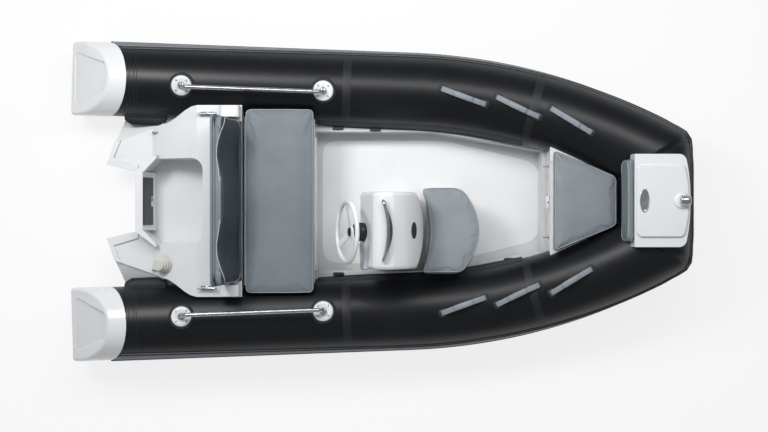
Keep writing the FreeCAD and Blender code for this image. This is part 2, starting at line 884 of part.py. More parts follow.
# Raised lip along the aft and inner edges of each platform
lip_outer = slab("lip_outer", mirrored([inner, tip, (s.platform_side_x, s.platform_half),
                                        (s.platform_side_x + s.platform_rim, s.platform_half),
                                        (s.platform_tip_x + s.platform_rim, s.platform_tip_y + s.platform_rim),
                                        (s.platform_inner_x + 5, s.platform_inner_y + s.platform_rim)]),
                 s.side_deck_height, moulding_top)
lip_gap = box("lip_gap", (s.platform_inner_x, -s.platform_half, 100), (s.cockpit_aft_x, s.platform_half, 800))
lip_ring = cut("lip_ring", lip_outer, lip_gap)
lip = common("lip", ramp("ramp_lip", s.platform_rim_height), lip_ring)

# Facet that falls from each platform towards the collar
facet_start = vector(s.facet_aft_x, s.facet_aft_y, s.platform_height)
facet_end = vector(s.facet_fore_x, s.facet_fore_y, s.ramp_height)
facet_low = vector(s.facet_aft_x + 40, s.platform_half, s.platform_height - s.facet_drop)
facet_way = (facet_end - facet_start).cross(facet_low - facet_start).normalize()
if facet_way.z < 0:
    facet_way = facet_way * -1
facet_above = half_space("facet_above", facet_start, facet_way)
facet_plan = slab("facet_plan", [
    (s.facet_aft_x, s.facet_aft_y), (s.facet_fore_x, s.facet_fore_y),
    (s.facet_fore_x, s.platform_half + 20), (s.platform_tip_x - 20, s.platform_half + 20),
    (s.platform_tip_x - 20, s.facet_aft_y - 20)], 0, 600)
facet_port = common("facet_port", facet_above, facet_plan)
facets = fuse("facets", [facet_port, mirror("facet_starboard", facet_port)])

# Well for the outboard, its transom and the buttresses beside it
well_plan = mirrored([(s.well_aft_x, s.transom_half), (s.well_aft_x + s.well_splay, s.well_half),
                      (s.well_fore_x, s.well_half)])
well = slab("well", well_plan, s.well_floor, 900)
well_round = round_edges("well_round", well, s.well_round,
                         lambda middle, way, edge: upright(middle, way, edge) and middle.x > -1200)
transom_board = profile("transom_board", [
    (s.platform_inner_x, s.platform_height - s.platform_thick - 60),
    (s.well_aft_x + s.transom_slope, s.platform_height - s.platform_thick - 60),
    (s.well_aft_x + s.transom_slope, s.well_floor + 20),
    (s.platform_inner_x + s.transom_thick, s.transom_top), (s.platform_inner_x, s.transom_top)],
    0, s.transom_half)
buttresses = []
for side in (-1, 1):
    buttresses.append(slab("buttress_%d" % (side + 1), [
        (s.platform_inner_x, side * (s.transom_half - 1)), (s.platform_inner_x, side * (s.transom_half + 6)),
        (s.well_aft_x + s.well_splay, side * (s.well_half + 22)),
        (s.well_aft_x + s.well_splay, side * s.well_half),
        (s.well_aft_x, side * (s.transom_half - 1))][::side], s.platform_height - 20, s.transom_top))
aft_ramp = fuse("aft_ramp", [ramp_form, lip])
aft_well = cut("aft_well", aft_ramp, fuse("aft_spaces", [well_round, facets]))
aft_full = fuse("aft_full", [aft_well, transom_board] + buttresses)

# Cheeks that stand at the ends of the backrest
cheek_plan = [(s.cheek_aft_x, s.backrest_half + 3), (s.cockpit_aft_x - 6, s.backrest_half + 3),
              (s.cockpit_aft_x - 6, s.shoulder_half - 8), (s.cheek_aft_x, s.shoulder_half - 8)]
cheek = slab("cheek", cheek_plan, s.aft_deck_height, s.aft_deck_height + s.cheek_rise)
cheek_round = round_edges("cheek_round", cheek, s.cheek_round, lambda middle, way, edge:
                          abs(way.y) > 0.99 and middle.z > float(s.aft_deck_height) + 10)
aft_cheeks = fuse("aft_cheeks", [aft_full, cheek_round, mirror("cheek_starboard", cheek_round)])
keep("aft_moulding", cut("aft_moulding", aft_cheeks, collar_room))

# Clamp pad on the inner face of the transom

slope_run = float(s.well_aft_x + s.transom_slope - s.platform_inner_x - s.transom_thick)
slope_drop = float(s.transom_top - s.well_floor) - 20
slope_down = FreeCAD.Vector(slope_run, 0, -slope_drop).normalize()
pad_out = FreeCAD.Vector(slope_drop, 0, slope_run).normalize()
pad_edge = vector(s.platform_inner_x + s.transom_thick, 0, s.transom_top)
pad_frame = FreeCAD.Placement(pad_edge, FreeCAD.Rotation(
    FreeCAD.Vector(0, 1, 0), slope_down * -1, pad_out, "ZXY"))
pad_plan = [
    (-s.pad_half, -s.pad_height), (-s.pad_notch, -s.pad_height), (-s.pad_notch, -s.pad_height + s.pad_notch_deep),
    (s.pad_notch, -s.pad_height + s.pad_notch_deep), (s.pad_notch, -s.pad_height), (s.pad_half, -s.pad_height),
    (s.pad_half, -s.pad_margin), (-s.pad_half, -s.pad_margin)]
keep("transom_pad", extrude("transom_pad", outline("transom_pad_face", pad_frame, pad_plan), s.pad_thick))

# Bench locker, its lid and cushion

bench_outer = box("bench_outer", (s.bench_aft_x, -s.bench_half, s.sole_height),
                  (s.bench_fore_x, s.bench_half, s.bench_height))
bench_inner = box("bench_inner", (s.bench_aft_x + s.bench_wall, s.bench_wall - s.bench_half,
                                  s.sole_height + s.bench_wall),
                  (s.bench_fore_x - s.bench_wall, s.bench_half - s.bench_wall, s.bench_height + 10))
bench_open = cut("bench_open", bench_outer, bench_inner)
bench_axis = vector(s.bench_fore_x + s.hinge_barrel - s.hinge_sink, 0, s.bench_height + s.lid_play / 2)
bench_hinge_length = s.bench_half * 2 - 80
bench_lid_hinge, bench_box_hinge, bench_lid_room, bench_box_room = hinge(
    "bench_hinge", bench_axis - vector(0, bench_hinge_length / 2, 0), FreeCAD.Vector(0, 1, 0),
    FreeCAD.Vector(-1, 0, 0), bench_hinge_length, s.hinge_reach)
keep("bench_box", fuse("bench_box", [cut("bench_box_fit", bench_open, bench_box_room)] + bench_box_hinge))
bench_top = s.bench_height + s.lid_thick
moving_room = side_tube("moving_room_port", s.tube_radius + s.seat_room)
moving_room_both = fuse("moving_room", [moving_room, mirror("moving_room_starboard", moving_room)])
bench_plate = box("bench_lid_plate", (s.bench_aft_x + s.lid_gap, -s.lid_half, s.bench_height + s.lid_play),
                  (s.bench_fore_x, s.lid_half, bench_top))
bench_plate_fit = cut("bench_plate_fit", cut("bench_plate_cut", bench_plate, moving_room_both), bench_lid_room)
keep("bench_lid", fuse("bench_lid", [bench_plate_fit] + bench_lid_hinge))
bench_pad = box("bench_pad", (s.bench_aft_x + s.lid_gap, -s.bench_cushion_half, bench_top),
                (s.bench_fore_x + 6, s.bench_cushion_half, bench_top + s.cushion_thick))
bench_pad_round = round_edges("bench_pad_round", bench_pad, 38, upright)
keep("bench_cushion", cut("bench_cushion", bench_pad_round, moving_room_both))

# Backrest: moulded shell and its cushion

back_foot = s.aft_deck_height
back_top_x = s.backrest_foot_x - s.backrest_lean
back_depth = s.backrest_thick - s.backrest_panel
back_pad = profile("backrest_pad", [
    (s.backrest_foot_x - back_depth, back_foot), (s.backrest_foot_x, back_foot),
    (back_top_x, s.backrest_top), (back_top_x - back_depth, s.backrest_top - s.backrest_fall)],
    0, s.backrest_half)
back_up = (vector(back_top_x, 0, s.backrest_top) - vector(s.backrest_foot_x, 0, back_foot)).normalize()
back_out = FreeCAD.Vector(back_up.z, 0, -back_up.x)
hollow_radius = s.back_hollow_half * s.back_hollow_half / s.back_hollow_deep / 2 + s.back_hollow_deep / 2
hollows = []
for side in (-1, 1):
    hollow_foot = vector(s.backrest_foot_x, s.back_hollow_y * side, back_foot) - back_up * 100
    hollow_spot = hollow_foot + back_out * float(hollow_radius - s.back_hollow_deep)
    hollows.append(cylinder("back_hollow_%d" % (side + 1), hollow_radius, s.backrest_top - back_foot + 250,
                            facing(hollow_spot, back_up, FreeCAD.Vector(0, 1, 0))))
keep("backrest_cushion", cut("backrest_cushion", back_pad, fuse("back_hollows", hollows)))
back_panel = profile("backrest_panel_plate", [
    (s.backrest_foot_x - s.backrest_thick, back_foot), (s.backrest_foot_x - back_depth, back_foot),
    (back_top_x - back_depth, s.backrest_top - s.backrest_fall),
    (back_top_x - s.backrest_thick, s.backrest_top - s.backrest_fall)], 0, s.backrest_half)
keep("backrest_panel", round_edges("backrest_panel", back_panel, s.backrest_corner, lambda middle, way, edge:
                                   abs(way.y) < 0.01 and abs(way.z) < 0.1 and middle.z > float(back_foot) + 50))

# Steering console

console_plan = [
    (s.console_aft_x - s.dash_lean, s.console_y - s.console_half),
    (s.console_fore_x, s.console_y - s.console_half, s.console_bulge),
    (s.console_fore_x, s.console_y + s.console_half),
    (s.console_aft_x - s.dash_lean, s.console_y + s.console_half)]
console_block = slab("console_block", console_plan, s.sole_height, s.console_height + s.console_blank)
console_side = profile("console_side", [
    (s.console_aft_x, s.sole_height), (s.console_fore_x + s.console_bulge, s.sole_height),
    (s.console_fore_x + s.console_bulge, s.console_nose_height, s.console_swell),
    (s.console_brow_x, s.console_height, s.console_crown), (s.console_aft_x, s.console_height - s.dash_drop),
    (s.console_aft_x - s.dash_lean, s.dash_height), (s.console_aft_x, s.dash_height - s.dash_toe)],
    s.console_y, s.console_half + 20)
console_sharp = common("console_sharp", console_block, console_side)
console_form = round_edges("console_form", console_sharp, s.console_round, lambda middle, way, edge:
                           middle.z > float(s.sole_height) + 5)
keep("console_body", console_form)

# Low screen on the console, with a rail along its top edge


def screen_band(name, end_x, middle_x, height):
    # Thin bowed band across the console
    bow = middle_x - end_x
    low_y = s.console_y - s.screen_half + s.screen_rail_tube * 2
    high_y = s.console_y + s.screen_half - s.screen_rail_tube * 2
    sketch = outline(name, flat_at(), [
        (end_x, low_y), (end_x + s.screen_thick, low_y, bow),
        (end_x + s.screen_thick, high_y), (end_x, high_y, -bow)])
    bind(sketch, "Placement.Base.z", height)
    return sketch


rail_top = s.console_height + s.screen_rise
rail_turn = 2 * math.atan2(float(s.screen_rail_x - s.screen_rail_end_x), float(s.screen_half))
rail_corner = float(s.screen_rail_tube) * 2.5
arc_half = float(s.screen_half) - rail_corner * math.cos(rail_turn)
arc_end_x = float(s.screen_rail_end_x) + rail_corner * math.sin(rail_turn)
arc_middle_x = arc_end_x + arc_half / math.sin(rail_turn) * (1 - math.cos(rail_turn))
rail_points = []
for side in (1, -1):
    foot_at = vector(s.screen_rail_end_x, s.console_y + s.screen_half * side, s.console_height - 40)
    leg_top = FreeCAD.Vector(foot_at.x, foot_at.y, float(rail_top) - rail_corner)
    arc_end = vector(arc_end_x, s.console_y + arc_half * side, rail_top)
    level = FreeCAD.Vector(arc_end.x - foot_at.x, arc_end.y - foot_at.y, 0)
    elbow = leg_top + level * (1 - math.sqrt(0.5)) + FreeCAD.Vector(0, 0, rail_corner * math.sqrt(0.5))
    rail_points.append((foot_at, leg_top, elbow, arc_end))
port_end, starboard_end = rail_points
crest = vector(arc_middle_x, s.console_y, rail_top)
screen_rail_path = Part.Wire([
    Part.makeLine(port_end[0], port_end[1]),
    Part.Arc(port_end[1], port_end[2], port_end[3]).toShape(),
    Part.Arc(port_end[3], crest, starboard_end[3]).toShape(),
    Part.Arc(starboard_end[3], starboard_end[2], starboard_end[1]).toShape(),
    Part.makeLine(starboard_end[1], starboard_end[0])])
screen_rail_section = Part.Wire(Part.makeCircle(float(s.screen_rail_tube), port_end[0]))
screen_rail = doc.addObject("Part::Feature", "console_rail_tube")
screen_rail.Shape = screen_rail_path.makePipeShell([screen_rail_section], True, True)
keep("console_rail", cut("console_rail", screen_rail, console_form))
screen_loft = doc.addObject("Part::Loft", "screen_loft")
screen_loft.Sections = [screen_band("screen_foot", s.screen_end_x, s.screen_x, s.console_height - 40),
                        screen_band("screen_top", s.screen_rail_end_x, arc_middle_x, rail_top)]
screen_loft.Solid = True
screen_loft.Ruled = True
screen_seated = cut("screen_seated", screen_loft, console_form)
keep("console_screen", cut("console_screen", screen_seated, screen_rail))

# Oval badge, left bare, on the nose of the console

nose_low = vector(s.console_fore_x + s.console_bulge, 0, s.console_nose_height)
nose_high = vector(s.console_brow_x, 0, s.console_height)
nose_run = nose_high - nose_low
nose_out = FreeCAD.Vector(nose_run.z, 0, -nose_run.x).normalize()
nose_radius = nose_run.Length ** 2 / 8 / float(s.console_swell) + float(s.console_swell) / 2
nose_centre = (nose_low + nose_high) * 0.5 + nose_out * (float(s.console_swell) - nose_radius)
badge_reach = float(s.badge_x) - nose_centre.x
badge_way = FreeCAD.Vector(badge_reach, 0, math.sqrt(nose_radius ** 2 - badge_reach ** 2)).normalize()
badge_spot = nose_centre + badge_way * (nose_radius - float(s.badge_thick)) + vector(0, s.console_y, 0)
badge_face = doc.addObject("Part::Ellipse", "badge_face")
bind(badge_face, "MajorRadius", s.badge_width / 2)
bind(badge_face, "MinorRadius", s.badge_height / 2)
badge_face.Placement = facing(badge_spot, badge_way, FreeCAD.Vector(0, 1, 0))
badge_plate = extrude("badge_plate", badge_face, s.badge_thick * 2)
keep("console_badge", cut("console_badge", badge_plate, console_form))

# Control pod on the dash, to starboard of the helm

dash_low = vector(s.console_aft_x - s.dash_lean, 0, s.dash_height)
dash_high = vector(s.console_aft_x, 0, s.console_height - s.dash_drop)
dash_up = (dash_high - dash_low).normalize()
dash_out = FreeCAD.Vector(-dash_up.z, 0, dash_up.x)
dash_frame = FreeCAD.Placement((dash_low + dash_high) * 0.5 - dash_out * 3,
                               FreeCAD.Rotation(FreeCAD.Vector(0, -1, 0), dash_up, dash_out, "ZXY"))
pod_outline = outline("pod_outline", dash_frame, [
    (-s.pod_high_y, -s.pod_width / 2), (-s.pod_low_y, -s.pod_tip_width / 2),
    (-s.pod_low_y, s.pod_tip_width / 2), (-s.pod_high_y, s.pod_width / 2)])
pod_sharp = extrude("pod_sharp", pod_outline, s.pod_thick)
pod_round = round_edges("pod_round", pod_sharp, s.pod_round, lambda middle, way, edge: (
    middle - dash_frame.Base).dot(dash_out) > float(s.pod_thick) / 3)
keep("dash_pod", cut("dash_pod", pod_round, console_form))

# Steering wheel on a shaft, leaning forward

wheel_tilt = math.radians(float(s.wheel_tilt))
wheel_axis = FreeCAD.Vector(-math.cos(wheel_tilt), 0, math.sin(wheel_tilt))
wheel_centre = vector(s.wheel_x, s.wheel_y, s.wheel_height)
wheel_place = facing(wheel_centre, wheel_axis, FreeCAD.Vector(0, 1, 0))
rim_ring = doc.addObject("Part::Torus", "wheel_rim_ring")
bind(rim_ring, "Radius1", s.wheel_radius)
bind(rim_ring, "Radius2", s.wheel_rim)
rim_ring.Placement = wheel_place
hub_place = wheel_place.multiply(FreeCAD.Placement(FreeCAD.Vector(0, 0, -30), FreeCAD.Rotation()))
hub = cylinder("wheel_hub_disc", s.wheel_hub, 34, hub_place)
shaft_place = offset(wheel_place, 0, 0, -64)
shaft = cylinder("wheel_shaft", s.shaft_radius, 40, shaft_place)
spokes = []
for number in range(3):
    spoke = doc.addObject("Part::Box", "wheel_spoke_%d" % number)
    bind(spoke, "Length", s.wheel_radius)
    bind(spoke, "Width", s.wheel_spoke)
    spoke.Height = 8
    spin = FreeCAD.Placement(FreeCAD.Vector(), FreeCAD.Rotation(FreeCAD.Vector(0, 0, 1), 120 * number))
    shift = FreeCAD.Placement(FreeCAD.Vector(0, -float(s.wheel_spoke) / 2, -12), FreeCAD.Rotation())
    spoke.Placement = wheel_place.multiply(spin).multiply(shift)
    spokes.append(spoke)
keep("steering_wheel", fuse("steering_wheel", [rim_ring, hub, shaft] + spokes))
cap_plate = cylinder("wheel_cap", 27, 6,
                     wheel_place.multiply(FreeCAD.Placement(FreeCAD.Vector(0, 0, 4), FreeCAD.Rotation())))
keep("wheel_cap", cap_plate)

helm_start = wheel_centre - wheel_axis * 34
helm_length = 90
helm = cylinder("helm_cone", s.helm_radius, helm_length, facing(helm_start - wheel_axis * helm_length,
                                                               wheel_axis, FreeCAD.Vector(0, 1, 0)))
bore = cylinder("helm_bore", s.shaft_radius + s.shaft_play, 45, offset(wheel_place, 0, 0, -66))
helm_bored = cut("helm_bored", helm, bore)
keep("helm_boot", cut("helm_boot", helm_bored, console_form))

# Seat in front of the console

seat_low = s.front_seat_y - s.front_seat_half
seat_high = s.front_seat_y + s.front_seat_half


def seat_plan(inset, starboard_inset):
    # Concave towards the console and bowed forward
    return [
        (s.front_seat_aft_x + inset, seat_low + starboard_inset),
        (s.front_seat_side_x - inset, seat_low + starboard_inset, s.front_seat_bulge),
        (s.front_seat_side_x - inset, seat_high - inset),
        (s.front_seat_aft_x + inset, seat_high - inset, -s.front_seat_hollow)]


seat_outer = slab("seat_outer", seat_plan(s.front_box_inset, s.front_box_side), s.sole_height,
                  s.front_seat_height)
seat_inner = slab("seat_inner", seat_plan(s.front_box_inset + s.bench_wall, s.front_box_side + s.bench_wall),
                  s.sole_height + s.bench_wall, s.front_seat_height + 10)
seat_open = cut("seat_open", seat_outer, seat_inner)
seat_axis_y = seat_high - s.front_lid_inset + s.hinge_barrel - s.hinge_sink
seat_hinge_length = s.front_seat_side_x - s.front_seat_aft_x - s.front_lid_inset * 4
seat_hinge_start = vector(s.front_seat_side_x - s.front_lid_inset * 2, seat_axis_y,
                          s.front_seat_height + s.lid_play / 2)
seat_lid_hinge, seat_box_hinge, seat_lid_room, seat_box_room = hinge(
    "seat_hinge", seat_hinge_start, FreeCAD.Vector(-1, 0, 0), FreeCAD.Vector(0, -1, 0), seat_hinge_length,
    s.front_box_inset - s.front_lid_inset + s.hinge_reach)
keep("front_seat_box", fuse("front_seat_box", [cut("seat_box_fit", seat_open, seat_box_room)] + seat_box_hinge))
seat_lid_top = s.front_seat_height + s.lid_thick
seat_plate = slab("seat_plate", seat_plan(s.front_lid_inset, s.front_lid_inset),
                  s.front_seat_height + s.lid_play, seat_lid_top)
seat_plate_fit = cut("seat_plate_fit", seat_plate, seat_lid_room)
keep("front_seat_lid", fuse("front_seat_lid", [seat_plate_fit] + seat_lid_hinge))
keep("front_seat_cushion", slab("front_seat_cushion", seat_plan(0, 0), seat_lid_top,
                                seat_lid_top + s.cushion_thick))

# Bow locker, its lid and the cushion on it

locker_block = box("locker_block", (s.cockpit_bow_x, -s.locker_half, s.hull_fore_deck),
                   (s.locker_bow_x, s.locker_half, s.locker_height))
inner_half = s.bow_seat_aft_half - 30
inner_bow_half = s.bow_seat_bow_half - 10
locker_inner = slab("locker_inner", mirrored([
    (s.cockpit_bow_x + 40, inner_half), (s.locker_bow_x - s.locker_wall, inner_bow_half)]),
    s.hull_fore_deck + s.locker_wall, 900)
bow_hinge_length = s.bow_seat_aft_half * 2 - 120
locker_rebate = box("locker_rebate", (s.cockpit_bow_x - 5, -bow_hinge_length / 2 - 2, s.locker_height - s.locker_rebate),
                    (s.bow_seat_aft_x, bow_hinge_length / 2 + 2, s.locker_height + 5))
locker_open = cut("locker_open", locker_block, fuse("locker_spaces", [locker_inner, locker_rebate]))
locker_fit = cut("locker_fit", locker_open, collar_room)
bow_axis = vector(s.bow_seat_aft_x - s.hinge_barrel + s.hinge_sink, bow_hinge_length / 2,
                  s.locker_height + s.lid_play / 2)
bow_lid_hinge, bow_box_hinge, bow_lid_room, bow_box_room = hinge(
    "bow_hinge", bow_axis, FreeCAD.Vector(0, -1, 0), FreeCAD.Vector(1, 0, 0), bow_hinge_length, s.hinge_reach)
keep("bow_locker", fuse("bow_locker", [cut("locker_hinge_fit", locker_fit, bow_box_room)] + bow_box_hinge))
bow_lid_top = s.locker_height + s.lid_thick
bow_seat_plan = mirrored([(s.bow_seat_aft_x, s.bow_seat_aft_half), (s.bow_seat_bow_x, s.bow_seat_bow_half)])
bow_lid_plan = mirrored([(s.bow_seat_aft_x, s.bow_seat_aft_half - s.bow_lid_inset),
                         (s.bow_seat_bow_x - s.bow_lid_inset, s.bow_seat_bow_half - s.bow_lid_inset)])
bow_plate = slab("bow_plate", bow_lid_plan, s.locker_height + s.lid_play, bow_lid_top)
keep("bow_seat_lid", fuse("bow_seat_lid", [cut("bow_plate_fit", bow_plate, bow_lid_room)] + bow_lid_hinge))
keep("bow_seat_cushion", slab("bow_seat_cushion", bow_seat_plan, bow_lid_top,
                              bow_lid_top + s.cushion_thick))

# Bow backrest and step

bow_back_foot = s.step_height - s.bow_back_rise
bow_back = profile("bow_back", [
    (s.bow_back_foot_x, bow_back_foot), (s.bow_back_foot_x + s.bow_back_foot_depth, bow_back_foot),
    (s.bow_back_top_x, s.step_height), (s.bow_back_top_x - s.bow_back_top_depth, s.step_height)],
    0, s.bow_back_half)
keep("bow_back_cushion", cut("bow_back_cushion", bow_back, collar_room))
step_plan = [
    (s.step_aft_x, -s.step_half), (s.step_fore_x, -s.step_half, s.step_bulge),
    (s.step_fore_x, s.step_half), (s.step_aft_x, s.step_half)]
step_block = slab("step_block", step_plan, s.hull_bow_deck, s.step_height)
step_foot_x = s.bow_back_foot_x + s.bow_back_foot_depth + s.step_gap
step_side = profile("step_side", [
    (step_foot_x, s.hull_bow_deck), (s.step_fore_x + s.trim_past, s.hull_bow_deck),
    (s.step_fore_x + s.trim_past, s.step_height), (s.bow_back_top_x + s.step_gap, s.step_height),
    (step_foot_x, bow_back_foot)], 0, s.step_half + s.step_blank)
step_form = common("step_form", step_block, step_side)
step_rounded = round_edges("step_rounded", step_form, s.step_round, lambda middle, way, edge:
                           upright(middle, way, edge) and middle.x > float(s.step_aft_x + s.trim_past))
keep("bow_step", cut("bow_step", step_rounded, collar_room))
panel_aft_x = s.bow_back_top_x + s.step_margin
panel_fore_x = s.step_fore_x - s.step_margin
panel_top = s.step_height + s.step_pad_thick
panel = slab("panel", [
    (panel_aft_x, -s.step_pad_half), (panel_fore_x, -s.step_pad_half, s.step_bulge),
    (panel_fore_x, s.step_pad_half), (panel_aft_x, s.step_pad_half)], s.step_height, panel_top)
panel_corners = round_edges("panel_corners", panel, s.step_round - s.step_margin, upright)
keep("bow_step_pad", round_edges("bow_step_pad", panel_corners, s.step_pad_thick / 2, lambda middle, way, edge:
                                 middle.z > float(panel_top) - 1))
light_foot = cylinder("light_foot", s.light_radius, s.light_base,
                      FreeCAD.Placement(vector(s.light_x, 0, panel_top), FreeCAD.Rotation()))
lamp = cylinder("lamp", s.lamp_radius, s.lamp_length, FreeCAD.Placement(
    vector(s.light_x - s.lamp_length / 4, 0, panel_top + s.light_base + s.lamp_radius / 2),
    FreeCAD.Rotation(FreeCAD.Vector(0, 1, 0), 90)))
light_joined = fuse("light_joined", [light_foot, lamp])
below_panel = box("below_panel", (s.light_x - s.trim_past, -s.trim_past, panel_top - s.trim_past),
                  (s.light_x + s.trim_past, s.trim_past, panel_top))
keep("bow_light", cut("bow_light", light_joined, below_panel))

# Grab rails over the collar, each on two flanges and rubber boots

def on_tube(x, lean):
    # Frame on the collar's axis: local X forward along it, local Z out through the skin
    way = path_way(x)
    level = way.cross(FreeCAD.Vector(0, 0, 1)).normalize()
    up = level.cross(way).normalize()
    out = up * math.cos(math.radians(lean)) + level * math.sin(math.radians(lean))
    side = out.cross(way).normalize()
    return FreeCAD.Placement(path_point(x), FreeCAD.Rotation(way, side, out, "ZXY"))


rail_span = float(s.rail_fore_x - s.rail_aft_x)
rail_frame = on_tube(float(s.rail_aft_x), float(s.rail_lean))
boots = []
flanges = []
for number, along in enumerate((0.0, rail_span)):
    boot = cylinder("rail_boot_%d" % number, s.boot_radius, 30 + s.boot_thick,
                    offset(rail_frame, along, 0, s.tube_radius - 30))
    boots.append(cut("rail_boot_fit_%d" % number, boot, collar_port))
    flange = cylinder("rail_flange_%d" % number, s.flange_radius, s.flange_thick,
                      offset(rail_frame, along, 0, s.tube_radius + s.boot_thick))
    flanges.append(flange)
boots_port = fuse("boots_port", boots)
keep("rail_boots", fuse("rail_boots", [boots_port, mirror("boots_starboard", boots_port)]))
flanges_port = fuse("flanges_port", flanges)
keep("rail_flanges", fuse("rail_flanges", [flanges_port, mirror("flanges_starboard", flanges_port)]))

rise = float(s.rail_rise)
bend = float(s.rail_bend)
foot = float(s.tube_radius + s.boot_thick + s.flange_thick)
quarter = bend * (1 - math.sqrt(0.5))
rail_path = Part.Wire([
    Part.makeLine(FreeCAD.Vector(0, 0, foot), FreeCAD.Vector(0, 0, foot + rise - bend)),
    Part.Arc(FreeCAD.Vector(0, 0, foot + rise - bend), FreeCAD.Vector(quarter, 0, foot + rise - quarter),
             FreeCAD.Vector(bend, 0, foot + rise)).toShape(),
    Part.makeLine(FreeCAD.Vector(bend, 0, foot + rise), FreeCAD.Vector(rail_span - bend, 0, foot + rise)),
    Part.Arc(FreeCAD.Vector(rail_span - bend, 0, foot + rise),
             FreeCAD.Vector(rail_span - quarter, 0, foot + rise - quarter),
             FreeCAD.Vector(rail_span, 0, foot + rise - bend)).toShape(),
    Part.makeLine(FreeCAD.Vector(rail_span, 0, foot + rise - bend), FreeCAD.Vector(rail_span, 0, foot)),
])
rail_section = Part.Wire(Part.makeCircle(float(s.rail_tube), FreeCAD.Vector(0, 0, foot)))
rail = doc.addObject("Part::Feature", "grab_rail")
rail.Shape = rail_path.makePipeShell([rail_section], True, True)
rail.Placement = rail_frame
keep("grab_rail_port", rail)
keep("grab_rail_starboard", mirror("grab_rail_starboard", rail))

# Webbing carry handles, arched between two patches on the collar

def handle_frame(x, lean):
    spin = FreeCAD.Placement(FreeCAD.Vector(), FreeCAD.Rotation(FreeCAD.Vector(0, 0, 1), -float(s.handle_turn)))
    return on_tube(float(x), float(lean)).multiply(spin)


straps = []
patches = []
half_strap = s.handle_length / 2
strap_seat = s.tube_radius + s.patch_thick
handle_spots = [(s.handle_aft_x, s.handle_aft_lean), (s.handle_middle_x, s.handle_middle_lean),
                (s.handle_fore_x, s.handle_fore_lean)]
for number, (x, lean) in enumerate(handle_spots):
    frame = handle_frame(x, lean)
    patches_here = []
    for end in (-1, 1):
        patch = cylinder("patch_%d_%d" % (number, end + 1), s.patch_length / 2, s.patch_sink + s.patch_thick,
                         offset(frame, float(half_strap) * end, 0, s.tube_radius - s.patch_sink))
        patches_here.append(cut("patch_fit_%d_%d" % (number, end + 1), patch, collar_port))
    patches += patches_here
    strap = doc.addObject("Part::Feature", "handle_strap_%d" % number)
    seat = float(strap_seat)
    reach = float(half_strap)
    thick = float(s.handle_thick)
    crest = seat + float(s.handle_rise)
    outer = Part.Arc(FreeCAD.Vector(-reach, 0, seat + thick), FreeCAD.Vector(0, 0, crest + thick),
                     FreeCAD.Vector(reach, 0, seat + thick)).toShape()
    inner = Part.Arc(FreeCAD.Vector(reach, 0, seat), FreeCAD.Vector(0, 0, crest),
                     FreeCAD.Vector(-reach, 0, seat)).toShape()
    fore_end = Part.makeLine(FreeCAD.Vector(reach, 0, seat + thick), FreeCAD.Vector(reach, 0, seat))
    aft_end_line = Part.makeLine(FreeCAD.Vector(-reach, 0, seat), FreeCAD.Vector(-reach, 0, seat + thick))
    loop = Part.Wire([outer, fore_end, inner, aft_end_line])
    width = float(s.handle_width)
    ribbon = Part.Face(loop).extrude(FreeCAD.Vector(0, width, 0))
    ribbon.translate(FreeCAD.Vector(0, -width / 2, 0))
    strap.Shape = ribbon
    strap.Placement = frame
    straps.append(strap)
handles = fuse("handles", straps)
keep("handles_port", handles)
keep("handles_starboard", mirror("handles_starboard", handles))
patches_port = fuse("patches_port", patches)
keep("handle_patches", fuse("handle_patches", [patches_port, mirror("patches_starboard", patches_port)]))

# Mooring cleats on the aft deck

cleats = []
for side in (-1, 1):
    bar = cylinder("cleat_bar_%d" % (side + 1), s.cleat_rod, s.cleat_length, FreeCAD.Placement(
        vector(s.cleat_x - s.cleat_length / 2, s.cleat_y * side, s.aft_deck_height + s.cleat_rise),
        FreeCAD.Rotation(FreeCAD.Vector(0, 1, 0), 90)))
    for foot in (-1, 1):
        post = cylinder("cleat_post_%d_%d" % (side + 1, foot + 1), s.cleat_post, s.cleat_rise, FreeCAD.Placement(
            vector(s.cleat_x + s.cleat_spread * foot, s.cleat_y * side, s.aft_deck_height), FreeCAD.Rotation()))
        cleats.append(post)
    cleats.append(bar)
keep("cleats", fuse("cleats", cleats))

# Towing eyes at the stern and on the stem

def ramp_height_at(x):
    # Height of the ramp beside the well, on the chord under its swell
    share = (float(x) - float(s.ramp_x)) / float(s.aft_deck_x - s.ramp_x)
    swell = float(s.ramp_hollow) * (1 - (2 * share - 1) ** 2)
    return float(s.ramp_height) + float(s.aft_deck_height - s.ramp_height) * share + swell


def eye(name, x, y, height):
    ring = doc.addObject("Part::Torus", name)
    bind(ring, "Radius1", s.eye_radius)
    bind(ring, "Radius2", s.eye_rod)
    ring.Placement = FreeCAD.Placement(vector(x, y, height), FreeCAD.Rotation(FreeCAD.Vector(1, 0, 0), 90))
    return ring


stern_eye_height = ramp_height_at(s.stern_eye_x) + float(s.eye_rod)
stern_eyes = [eye("stern_eye_%d" % (side + 1), s.stern_eye_x, s.stern_eye_y * side, stern_eye_height)
              for side in (-1, 1)]
stem_share = (float(s.bow_eye_height + s.keel_depth) / float(s.stem_height + s.keel_depth)) ** 0.25
bow_eye = eye("bow_eye", float(s.forefoot_x) + fore_length * stem_share + float(s.eye_rod), 0, s.bow_eye_height)
stern_eyes_fit = cut("stern_eyes_fit", fuse("stern_eyes", stern_eyes), pieces["aft_moulding"])
bow_eye_fit = cut("bow_eye_fit", bow_eye, hull)
keep("tow_eyes", fuse("tow_eyes", [stern_eyes_fit, bow_eye_fit]))

# Ribbed boot where the engine's cables come through the ramp

